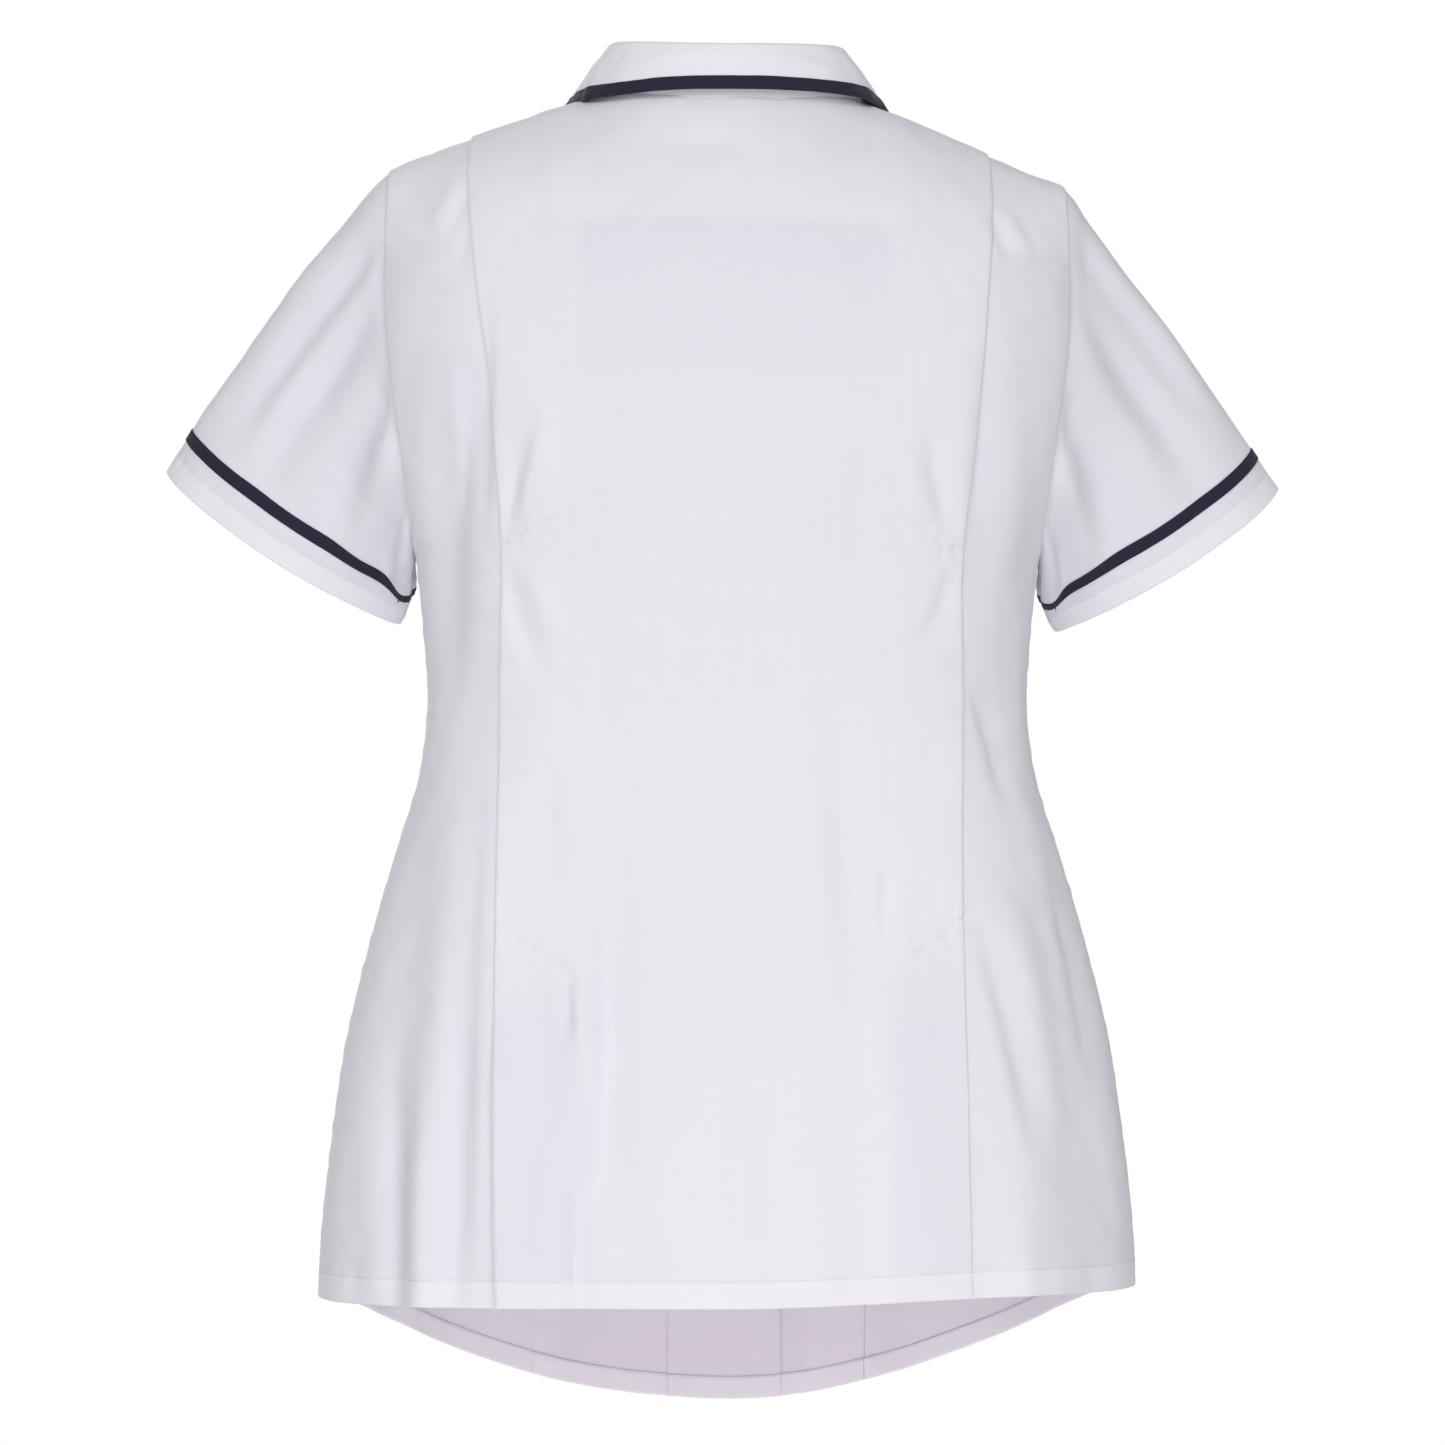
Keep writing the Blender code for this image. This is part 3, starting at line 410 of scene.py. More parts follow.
BESIDE_STITCHES = (0.0022, 0.0008, 0.0, -0.0008, -0.0022)  # rows up from a hem's stitching
HEM_SECOND_ROWS = 0.0048  # where the rows below them start, down from the stitching
HEM_LAST_ROW = 0.0009  # where they stop, up from the edge
HEM_FIRST_INSIDE = 0.0015
HEM_NEXT_INSIDE = 0.004
HEM_PAST = 0.0010  # how far the turned cloth goes on past the stitching
HEM_DIP = 0.00022  # how far a hem's stitching draws its outside in
SLEEVE_DIP = 0.0002
SLEEVE_DIP_REACH = 0.0006

# The fineness of the nets
GRID_ACROSS = 361
GRID_TOP = 110
GRID_SKIRT = 330
STEP = 0.001
LEAST_SIZE = 0.01  # metres to a whole step of u or v, so that no division is by nearly nothing
# A panel's rows, as v: they are finer where the stitched lines cross the pleats
ROW_STOPS = (0, 1, 1.185, 1.245, 1.600, 1.680)
ROW_COUNTS = (52, 36, 27, 66, 37, 50)
ROWS_OVER_HEM = 0.0035  # how far over the stitching a panel's plain rows stop
UNDER_COLUMNS = 8
CENTRE_COLUMNS = (21, 9, 46, 9, 21)
BACK_SIDE_COLUMNS = 44
UNDER_SIDE_COLUMNS = 9
FRONT_COLUMNS = 50
FACING_COLUMNS = 24
PLACE_STEPS = 12


def unit(vectors):
    return vectors / np.maximum(np.linalg.norm(vectors, axis=-1, keepdims=True), 1e-12)


def ease(low, high, values):
    share = np.clip((values - low) / (high - low), 0, 1)
    return share * share * (3 - 2 * share)


def step_at(place, soft, values):
    """0 before a place and 1 past it, with a soft step between."""
    return ease(place - soft, place + soft, values)


def bell(distance, width):
    return np.exp(-((distance / width) ** 2))


def swell(share, full, fades):
    """0 at both ends of a length, and 1 from the share full of it to the share fades."""
    return ease(0, full, share) * (1 - ease(fades, 1, share))


def read(table, column, at, key="z"):
    """One column of a table, read at values of its key column on a smooth curve through its rows."""
    ordered = sorted(table, key=lambda row: getattr(row, key))
    keys = np.array([getattr(row, key) for row in ordered])
    values = np.array([getattr(row, column) for row in ordered])
    slopes = np.gradient(values, keys)
    at = np.clip(at, keys[0], keys[-1])
    i = np.clip(np.searchsorted(keys, at) - 1, 0, len(keys) - 2)
    step = keys[i + 1] - keys[i]
    t = (at - keys[i]) / step
    near = (1 + 2 * t) * (1 - t) ** 2 * values[i] + t * (1 - t) ** 2 * step * slopes[i]
    far = t * t * (3 - 2 * t) * values[i + 1] - t * t * (1 - t) * step * slopes[i + 1]
    return near + far


def between(face, u, values):
    """Values given at a face's stations, read at u."""
    places = list(face.stations.values())
    result = np.zeros(np.shape(u))
    for k in range(len(places) - 1):
        share = (u - places[k]) / (places[k + 1] - places[k])
        inside = (u >= places[k]) if k else np.full(np.shape(u), True)
        result = np.where(inside, values[k] + (values[k + 1] - values[k]) * share, result)
    return result


def armhole_depth(face, z):
    share = np.clip((z - UNDERARM_Z) / (TIP_Z - UNDERARM_Z), 0, 1)
    rounded = np.sqrt(np.maximum(1 - (1 - np.minimum(share / ARM_ROUND, 1)) ** 2, 0))
    return face.arm * rounded * (1 - ARM_NARROW * ease(ARM_NARROW_FROM, ARM_NARROW_TO, share))


def section_point(face, u, z):
    """A place on the level section at height z."""
    depth = read(LEVELS, face.name, z)
    limit = np.arccos(np.clip((armhole_depth(face, z) / depth) ** (SQUARE / 2), 0, 1))
    width = read(LEVELS, "side", z) / np.sin(limit) ** (2 / SQUARE)
    angles = [-limit]
    for name in list(face.stations)[1:-1]:
        x = read(face.lines, name, z)
        angles.append(np.sign(x) * np.arcsin((np.abs(x) / width) ** (SQUARE / 2)))
    angles.append(limit)
    angle = between(face, u, angles)
    x = width * np.sign(angle) * np.abs(np.sin(angle)) ** (2 / SQUARE)
    y = face.way * depth * np.maximum(np.cos(angle), 0) ** (2 / SQUARE)
    return np.stack([x, y, np.broadcast_to(z, np.shape(x))], axis=-1)


def turn_of(x):
    """How far round the neck and out along the shoulder x lies: a quarter turn at the neck's side."""
    inside = np.arcsin(np.clip(np.abs(x) / NECK_HALF, 0, 1))
    outside = np.maximum(np.abs(x) / NECK_HALF - 1, 0)
    return np.sign(x) * (inside + outside)


def station_turns(face):
    names = list(face.stations)[1:-1]
    tip = float(turn_of(TIP_X))
    return [-tip] + [float(turn_of(getattr(face.lines[0], name))) for name in names] + [tip]


def u_at_turn(face, turn):
    return np.interp(turn, station_turns(face), list(face.stations.values()))


def top_point(face, turn):
    """The neck seam, and past a quarter turn the shoulder seam."""
    round_neck = np.minimum(np.abs(turn), math.pi / 2)
    along = np.maximum(np.abs(turn) - math.pi / 2, 0) * NECK_HALF
    x = np.sign(turn) * (NECK_HALF * np.sin(round_neck) + along)
    y = face.way * face.neck_depth * np.cos(round_neck)
    slope = (TIP_Z - NECK_SIDE_Z) / (TIP_X - NECK_HALF)
    z = NECK_SIDE_Z - face.neck_drop * np.cos(round_neck) ** 3 + slope * along
    return np.stack([x, y, z], axis=-1)


def hem_z(face, u):
    reach = np.abs(section_point(face, u, np.full(np.shape(u), HEM_SIDE))[..., 0]) / HEM_HALF
    middle = HEM_BACK if face.way < 0 else HEM_FRONT
    return middle + (HEM_SIDE - middle) * np.clip(reach, 0, 1) ** HEM_CURVE


def surface(face, u, v):
    """The body surface at u and v, before its folds."""
    u, v = np.broadcast_arrays(np.asarray(u, float), np.asarray(v, float))
    z = CHEST_Z - (np.maximum(v, 1) - 1) * (CHEST_Z - hem_z(face, u))
    below = section_point(face, u, z)
    foot = unit(section_point(face, u, z - STEP) - below)
    turn = between(face, u, station_turns(face))
    top = top_point(face, turn)
    share = np.minimum(np.abs(turn) / (math.pi / 2), 1) ** 2
    outer = ease(math.pi / 2, float(turn_of(TIP_X)), np.abs(turn))
    away = face.way * (NECK_OUT + (SHOULDER_OUT - NECK_OUT) * share)
    down = -NECK_DOWN + (NECK_DOWN - SHOULDER_DOWN) * share
    sideways = np.sign(turn) * SPREAD * share * (1 - outer)
    start = unit(np.stack([sideways, away, down], axis=-1))
    length = np.linalg.norm(below - top, axis=-1, keepdims=True)
    second = top + start * length * TOP_REACH
    third = below - foot * length * CHEST_REACH
    t = np.minimum(v, 1)[..., None]
    above = (
        top * (1 - t) ** 3 + second * 3 * t * (1 - t) ** 2 + third * 3 * t * t * (1 - t) + below * t**3
    )
    return np.where((v < 1)[..., None], above, below)


def make_grid(face):
    """The body surface on a fine grid: its points, which way is out, and its slopes in u and v."""
    u = np.linspace(-1, 1, GRID_ACROSS)
    v = np.concatenate([np.linspace(0, 1, GRID_TOP, endpoint=False), np.linspace(1, 2, GRID_SKIRT)])
    points = surface(face, u[None, :], v[:, None])
    by_u = np.gradient(points, u, axis=1)
    by_v = np.gradient(points, v, axis=0)
    out = unit(np.cross(by_u, by_v)) * face.way
    return u, v, np.concatenate([points, out, by_u, by_v], axis=-1)


GRIDS = {face.name: make_grid(face) for face in (BACK, FRONT)}


def look_up(face, u, v):
    """Points, out, and the slopes in u and v, read from the face's grid."""
    places_u, places_v, grid = GRIDS[face.name]
    u, v = np.broadcast_arrays(np.asarray(u, float), np.asarray(v, float))
    across = np.interp(u, places_u, np.arange(len(places_u)))
    down = np.interp(v, places_v, np.arange(len(places_v)))
    j = np.minimum(across.astype(int), len(places_u) - 2)
    i = np.minimum(down.astype(int), len(places_v) - 2)
    s, t = (across - j)[..., None], (down - i)[..., None]
    upper = grid[i, j] * (1 - s) + grid[i, j + 1] * s
    lower = grid[i + 1, j] * (1 - s) + grid[i + 1, j + 1] * s
    found = upper * (1 - t) + lower * t
    return found[..., 0:3], unit(found[..., 3:6]), found[..., 6:9], found[..., 9:12]


def run_along(points):
    """How far along a line of points each of them is."""
    return np.concatenate([[0], np.cumsum(np.linalg.norm(np.diff(points, axis=0), axis=-1))])


def step_sizes(by_u, by_v):
    """Metres to a whole step of u and of v."""
    return [np.maximum(np.linalg.norm(slope, axis=-1), LEAST_SIZE) for slope in (by_u, by_v)]


def folds_lift(face, points):
    """How far the solids' own soft folds lift the cloth."""
    x, z = points[..., 0], points[..., 2]
    total = np.zeros_like(x)
    for fold in face.folds:
        share = np.clip((z - fold.z_top) / (fold.z_foot - fold.z_top), 0, 1)
        middle = fold.x_top + (fold.x_foot - fold.x_top) * share
        width = fold.width * (FOLD_TOP_WIDTH + (1 - FOLD_TOP_WIDTH) * share)
        total += fold.height * ease(0, FOLD_FULL, share) * bell(x - middle, width)
    return total


def creases_lift(creases, x, z):
    """How far the finer creases lift the cloth. Each fades in and out along its length."""
    total = np.zeros_like(x)
    for crease in creases:
        run_x, run_z = crease.x_foot - crease.x_top, crease.z_foot - crease.z_top
        length = math.hypot(run_x, run_z)
        along = ((x - crease.x_top) * run_x + (z - crease.z_top) * run_z) / length**2
        share = np.clip(along, 0, 1)
        off = ((x - crease.x_top) * -run_z + (z - crease.z_top) * run_x) / length
        off = off - crease.bow * 4 * share * (1 - share)
        width = crease.width * (1 + crease.lean * np.sign(off))
        total += crease.height * swell(share, 0.4, 0.6) * bell(off, width)
    return total


def ripple(points, wavelength, seed):
    """A slow uneven wave through space, about -1 to 1: the small unevenness of washed cloth."""
    random = np.random.default_rng(seed)
    total = np.zeros(points.shape[:-1])
    for _ in range(RIPPLE_PARTS):
        way = unit(random.normal(size=3)) * 2 * math.pi
        way = way / (wavelength * random.uniform(*RIPPLE_LENGTHS))
        total += np.sin(points @ way + random.uniform(0, 2 * math.pi))
    return total / (RIPPLE_PARTS / 2)


def waves(points, table):
    """The ripples of a table of waves, each at its own height."""
    return sum(ripple(points, wave.length, wave.seed) * wave.height for wave in table)


def hem_depth(face):
    cloth = bpy.context.scene.tunic_cloth
    return cloth.hem_depth if face.way < 0 else cloth.front_hem


def beside(distance, reach):
    """0 at a seam, 1 at the reach from it, and fading beyond."""
    return distance / reach * np.exp(1 - distance / reach)


def puckers(face, u, v, points, size_u, size_v):
    """The small waves that sewing draws up beside hems and seams."""
    across = ripple(points * (1, 1, PUCKER_STRETCH), PUCKER_WAVE, 23)
    along = ripple(points * (PUCKER_STRETCH, PUCKER_STRETCH, 1), PUCKER_WAVE, 29)
    above_hem = (2 - v) * size_v - hem_depth(face)
    at_hem = bell(above_hem, HEM_PUCKERS) * (1 - ease(0.96, 1.0, np.abs(u)))
    total = across * (at_hem + TOP_PUCKERED * beside(v * size_v, SEAM_PUCKERS))
    total = total + along * beside((1 - np.abs(u)) * size_u, SEAM_PUCKERS)
    if face.way > 0:
        from_seam = np.abs(np.abs(u) - FRONT_STATIONS["seam_right"]) * size_u
        total = total + along * FRONT_SEAM_PUCKERED * beside(from_seam, FRONT_SEAM_PUCKERS)
    return total * bpy.context.scene.tunic_cloth.pucker


def pleat_lines_lift(points):
    """The cloth is drawn in along the stitched lines that hold the back's pleats, and puckers."""
    x, z = points[..., 0], points[..., 2]
    near = np.full(x.shape, 1.0)
    for line in PLEAT_LINES:
        for (x_from, z_from), (x_to, z_to) in zip(line, line[1:]):
            run = np.array([x_to - x_from, z_to - z_from])
            share = ((x - x_from) * run[0] + (z - z_from) * run[1]) / (run @ run)
            share = np.clip(share, 0, 1)
            off_x, off_z = x - x_from - share * run[0], z - z_from - share * run[1]
            near = np.minimum(near, np.hypot(off_x, off_z))
    drawn = -PLEAT_DRAWN_IN * bell(near, PLEAT_DRAWN_REACH)
    return drawn + waves(points, PLEAT_PUCKERS) * bell(near, PLEAT_PUCKERS_REACH)


def lifted_cloth(face, u, v):
    """A face's points, which way is out, its slopes, and everything that lifts it out of the plain
    body surface: large folds, fine creases, the slow unevenness of washed cloth, and puckers."""
    points, out, by_u, by_v = look_up(face, u, v)
    size_u, size_v = step_sizes(by_u, by_v)
    depth = bpy.context.scene.tunic_cloth.crease_depth
    fine = creases_lift(face.creases, points[..., 0], points[..., 2]) * depth
    fine = fine + waves(points, BODY_WAVES) * depth
    if face.way < 0:
        fine = fine + pleat_lines_lift(points)
    lift = folds_lift(face, points) + fine * (1 - ease(CREASES_END_U, 1.0, np.abs(u)))
    lift = lift + puckers(face, u, v, points, size_u, size_v)
    at_armhole = 1 - ease(UNDERARM_V - ARMHOLE_ROLL_V, UNDERARM_V, v)
    lift = lift - ARMHOLE_ROLL * at_armhole * bell((1 - np.abs(u)) * size_u, ARMHOLE_ROLL_REACH)
    return points, out, by_u, by_v, lift


def pressed(v):
    """How far layers that lie on each other stand apart: less where a seam holds them."""
    return PRESSED + (1 - PRESSED) * ease(0, PRESSED_V, v)


# One row or column of a net: its u or v, metres on from there along the cloth, metres out, and
# metres past its own place, which rounds a fold's edge
Line = namedtuple("Line", "at on lift past")


def lay(face, across, down, extra=None):
    """A net of points on the body surface, one column for each line across and one row for each
    line down. extra gives more lift for each u, v and point."""
    at_u = np.array([line.at for line in across])[None, :]
    at_v = np.array([line.at for line in down])[:, None]
    size_u, size_v = step_sizes(*look_up(face, at_u, at_v)[2:])
    u = np.clip(at_u + np.array([line.on for line in across])[None, :] / size_u, -1, 1)
    v = np.clip(at_v + np.array([line.on for line in down])[:, None] / size_v, 0, 2)
    points, out, by_u, by_v, lift = lifted_cloth(face, u, v)
    lift = lift + np.array([line.lift for line in across])[None, :] * pressed(v)
    lift = lift + np.array([line.lift for line in down])[:, None]
    if extra is not None:
        lift = lift + extra(u, v, points) * pressed(v)
    aside = np.array([line.past for line in across])[None, :, None] * unit(by_u)
    below = np.array([line.past for line in down])[:, None, None] * unit(by_v)
    return points + out * lift[..., None] + aside + below, u, v


def evenly(first, last, count):
    """Plain lines from one place to another, both ends included."""
    return [Line(at, 0, 0, 0) for at in np.linspace(first, last, count)]


def lifted(lines, lift):
    return [Line(line.at, line.on, line.lift + lift, line.past) for line in lines]


def fold_round(at, radius, middle, way, start=-90, count=5):
    """A round fold edge at one place: from the layer below to the layer above, standing out past
    the place in the given way."""
    lines = []
    for angle in np.radians(np.linspace(start, -start, count)):
        lines.append(Line(at, 0, middle + radius * math.sin(angle), way * radius * math.cos(angle)))
    return lines


def seam_edge(at, way):
    """The cloth beside a seam, from the seam on in the given way: it rolls in to the join."""
    return [Line(at, way * far, up, 0) for far, up in zip(EDGE_ROWS, EDGE_ROLL)]


def hem_turn(depth, thickness):
    """The lines from just above the hem's stitching, round the hem's edge and up inside it."""
    gap = thickness + HEM_AIR
    outside = [depth + row for row in BESIDE_STITCHES]
    outside += list(np.linspace(depth - HEM_SECOND_ROWS, HEM_LAST_ROW, 4))
    lines = [Line(2, -far, -HEM_DIP if far == depth else 0, 0) for far in outside]
    lines += [Line(2, 0, line.lift - gap / 2, line.past) for line in fold_round(2, gap / 2, 0, 1)[::-1]]
    inside = [HEM_FIRST_INSIDE] + list(np.linspace(HEM_NEXT_INSIDE, depth + HEM_PAST, 5))
    return lines + [Line(2, -far, -gap, 0) for far in inside]


def panel_rows(depth, thickness):
    """The lines down a body panel, from its shoulder or neck edge to inside its turned hem."""
    last = 2 - (depth + ROWS_OVER_HEM) / (CHEST_Z - HEM_SIDE)
    rows = seam_edge(0, 1)
    stops = (*ROW_STOPS, last)
    for first, stop, count in zip(stops, stops[1:], ROW_COUNTS):
        rows += evenly(first, stop, count)[1 if first == 0 else 0 : -1]
    return rows + [Line(last, 0, 0, 0)] + hem_turn(depth, thickness)


def settle(points):
    """The small lean of the whole garment, its right side lower above and higher below, and the
    round of each shoulder."""
    x, z = points[..., 0], points[..., 2]
    moved = points.copy()
    moved[..., 2] += ease(0, LEAN_REACH, x) * (RIGHT_RISE * z / HEM_SIDE - RIGHT_DROP)
    crown = ease(*CROWN_X[:2], np.abs(x)) * (1 - ease(*CROWN_X[2:], np.abs(x)))
    height = SHOULDER_CROWN * np.where(x > 0, RIGHT_CROWN, 1)
    moved[..., 2] += height * crown * ease(*CROWN_Z, z)
    return moved


def tangent(net, axis):
    """The direction along one axis of a net at each of its points, even where its cells differ.
    A ring, whose last points are its first ones again, has one direction where it joins."""
    steps = unit(np.diff(net, axis=axis))
    first = np.take(steps, [0], axis=axis)
    last = np.take(steps, [-1], axis=axis)
    if np.allclose(np.take(net, 0, axis=axis), np.take(net, -1, axis=axis)):
        first, last = last, first
    before = np.concatenate([first, steps], axis=axis)
    after = np.concatenate([steps, last], axis=axis)
    return unit(before + after)


def net_out(net, way):
    return unit(np.cross(tangent(net, 1), tangent(net, 0))) * way


def border(height, width):
    """The net's edge as rows and columns, once round in the order of its cells' corners."""
    i = [0] * (width - 1) + list(range(height - 1)) + [height - 1] * (width - 1)
    i += list(range(height - 1, 0, -1))
    j = list(range(width - 1)) + [width - 1] * (height - 1) + list(range(width - 1, 0, -1))
    j += [0] * (height - 1)
    return np.array(i), np.array(j)


def shell(name, net, way, thickness, material, layers=None):
    """A closed thin shell of cloth on a net of points, with rounded cut edges, a UV map in metres
    along the threads, and at each point how many layers of cloth lie together, with the painted
    light and shade of each part added in."""
    net = settle(net)
    height, width = net.shape[:2]
    out = net_out(net, way)
    right_side = net + out * thickness / 2
    wrong_side = net - out * thickness / 2
    i, j = border(height, width)
    past_row = np.where(i == 0, -1, 0) + np.where(i == height - 1, 1, 0)
    past_column = np.where(j == 0, -1, 0) + np.where(j == width - 1, 1, 0)
    past = tangent(net, 0)[i, j] * past_row[:, None] + tangent(net, 1)[i, j] * past_column[:, None]
    rim = net[i, j] + unit(past) * thickness / 2
    count = height * width
    index = np.arange(count).reshape(height, width)
    a, b = index[:-1, :-1].ravel(), index[:-1, 1:].ravel()
    c, d = index[1:, 1:].ravel(), index[1:, :-1].ravel()
    loop = index[i, j]
    on = np.roll(loop, -1)
    middle = 2 * count + np.arange(len(loop))
    middle_on = np.roll(middle, -1)
    faces = np.concatenate(
        [
            np.stack([a, b, c, d], axis=1),
            np.stack([d, c, b, a], axis=1) + count,
            np.stack([on, loop, middle, middle_on], axis=1),
            np.stack([middle_on, middle, loop + count, on + count], axis=1),
        ]
    )
    if way < 0:
        faces = faces[:, ::-1]
    corners = np.concatenate([right_side.reshape(-1, 3), wrong_side.reshape(-1, 3), rim])
    steps_across = np.linalg.norm(np.diff(net, axis=1), axis=-1).mean(axis=0)
    steps_down = np.linalg.norm(np.diff(net, axis=0), axis=-1).mean(axis=1)
    run_across = np.concatenate([[0], np.cumsum(steps_across)])
    run_down = np.concatenate([[0], np.cumsum(steps_down)])
    cut = np.stack(np.meshgrid(run_across, -run_down), axis=-1)
    cut = np.concatenate([cut.reshape(-1, 2), cut.reshape(-1, 2), cut[i, j]])
    if layers is None:
        layers = np.zeros((height, width))
    together = np.concatenate([layers.ravel(), layers.ravel(), layers[i, j]])
    return mesh_piece(name, corners, faces, material, cut, together)


def mesh_piece(name, corners, faces, material, cut=None, together=None):
    """A smooth mesh of quads from arrays, added to the scene."""
    mesh = bpy.data.meshes.new(name)
    mesh.vertices.add(len(corners))
    mesh.vertices.foreach_set("co", np.ascontiguousarray(corners, np.float32).ravel())
    mesh.loops.add(faces.size)
    mesh.loops.foreach_set("vertex_index", np.ascontiguousarray(faces, np.int32).ravel())
    mesh.polygons.add(len(faces))
    mesh.polygons.foreach_set("loop_start", np.arange(0, faces.size, 4, dtype=np.int32))
    mesh.update(calc_edges=True)
    if cut is not None:
        layer = mesh.uv_layers.new(name="Cut")
        layer.uv.foreach_set("vector", np.ascontiguousarray(cut[faces.ravel()], np.float32).ravel())
    if together is not None:
        attribute = mesh.attributes.new("layers", "FLOAT", "POINT")
        attribute.data.foreach_set("value", np.ascontiguousarray(together, np.float32))
    mesh.shade_smooth()
    mesh.materials.append(material)
    piece = bpy.data.objects.new(name, mesh)
    bpy.context.scene.collection.objects.link(piece)
    return piece


def sew_on(piece, slot, *nodes):
    """The piece is in the garment's one body, and stands for these solids."""
    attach(piece, "root")
    if nodes:
        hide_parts(*nodes)


Path = namedtuple("Path", "points out")


def path_on(face, u, v, lift=0.0, on_u=0.0, on_v=0.0):
    """A line for stitches on a face's cloth. lift goes on top of the body's own folds, and on_u
    and on_v are metres on along the cloth."""
    u, v = np.broadcast_arrays(np.asarray(u, float), np.asarray(v, float))
    size_u, size_v = step_sizes(*look_up(face, u, v)[2:])
    u = np.clip(u + on_u / size_u, -1, 1)
    v = np.clip(v + on_v / size_v, 0, 2)
    points, out, _, _, own_lift = lifted_cloth(face, u, v)
    return Path(points + out * (own_lift + lift)[..., None], out)


def place_of(face, x, z):
    """The u and v of the place that has this x and z, found step by step along the slopes."""
    u, v = np.array(x) / HEM_HALF, 1 + (CHEST_Z - np.array(z)) / (CHEST_Z - HEM_SIDE)
    for _ in range(PLACE_STEPS):
        points, _, by_u, by_v = look_up(face, u, v)
        off_x, off_z = x - points[..., 0], z - points[..., 2]
        size = by_u[..., 0] * by_v[..., 2] - by_v[..., 0] * by_u[..., 2]
        u = np.clip(u + (off_x * by_v[..., 2] - off_z * by_v[..., 0]) / size, -1, 1)
        v = np.clip(v + (off_z * by_u[..., 0] - off_x * by_u[..., 2]) / size, 0, 2)
    return u, v


def stitches(name, paths, material):
    """Thread along each path: short rounded stitches that dip into the cloth at both ends."""
    settings = bpy.context.scene.tunic_stitches
    pitch = settings.length + settings.gap
    radius = settings.thread / 2
    corners, faces, base = [], [], 0
    each = 16  # a stitch's corners: four rings of four
    shares = np.array([0.0, 0.22, 0.78, 1.0])
    fat = np.array([0.45, 1.0, 1.0, 0.45]) * radius
    high = np.array([-0.7, 0.45, 0.45, -0.7]) * radius
    for path in paths:
        points = settle(path.points)
        run = run_along(points)
        count = int((run[-1] - settings.length) / pitch)
        if count < 1:
            continue
        at = (np.arange(count) * pitch)[:, None] + shares[None, :] * settings.length
        middle = np.stack([np.interp(at, run, points[:, k]) for k in range(3)], axis=-1)
        out = unit(np.stack([np.interp(at, run, path.out[:, k]) for k in range(3)], axis=-1))
        along = unit(middle[:, -1:] - middle[:, :1])
        side = unit(np.cross(out, along))
        middle = middle + out * high[None, :, None]
        ring = []
        for angle in (45, 135, 225, 315):
            way = side * math.cos(math.radians(angle)) + out * math.sin(math.radians(angle))
            ring.append(middle + way * fat[None, :, None])
        ring = np.stack(ring, axis=2)
        corners.append(ring.reshape(-1, 3))
        first = base + np.arange(count)[:, None, None] * each
        ring_start = first + np.arange(3)[None, :, None] * 4
        k = np.arange(4)[None, None, :]
        a, b = ring_start + k, ring_start + (k + 1) % 4
        sides = np.stack([a, b, b + 4, a + 4], axis=-1).reshape(-1, 4)
        start = first[:, 0, 0]
        near = np.stack([start + 3, start + 2, start + 1, start], axis=1)
        far = np.stack([start + 12, start + 13, start + 14, start + 15], axis=1)
        faces += [sides, near, far]
        base += count * each
    return mesh_piece(name, np.concatenate(corners), np.concatenate(faces), material)


def linear(hex_colour):
    """An sRGB hex colour as linear red, green and blue."""
    values = [int(hex_colour[k : k + 2], 16) / 255 for k in (1, 3, 5)]
    return tuple(x / 12.92 if x <= 0.04045 else ((x + 0.055) / 1.055) ** 2.4 for x in values)


def feed(tree, node, inputs):
    """Gives a node's inputs what they take: numbers, colours or sockets."""
    for name, value in inputs.items():
        if isinstance(value, bpy.types.NodeSocket):
            tree.links.new(value, node.inputs[name])
        else:
            node.inputs[name].default_value = value


def add(tree, kind, inputs=None, **settings):
    """Adds one node, with its settings and what its inputs take."""
    node = tree.nodes.new(kind)
    for key, value in settings.items():
        setattr(node, key, value)
    feed(tree, node, inputs or {})
    return node


def joined(tree, operation, first, second):
    """The value of a math node."""
    return add(tree, "ShaderNodeMath", {0: first, 1: second}, operation=operation).outputs["Value"]


def ramp_between(tree, value, low, high):
    """A colour ramp from one colour to another."""
    ramp = add(tree, "ShaderNodeValToRGB", {"Fac": value})
    stops = ramp.color_ramp.elements
    stops[0].color, stops[1].color = (*low, 1), (*high, 1)
    return ramp


def new_material(name):
    material = bpy.data.materials.new(name)
    material.use_nodes = True
    return material, material.node_tree, material.node_tree.nodes["Principled BSDF"]


# A wave texture repeats every pi / 10 of its own space, so its scale is this over a real size
WAVE_SPAN = math.pi / 10

FABRIC = "White woven poly-cotton"
TWILL = "Navy woven twill tape"
WHITE_THREAD = "White sewing thread"
NAVY_THREAD = "Navy sewing thread"


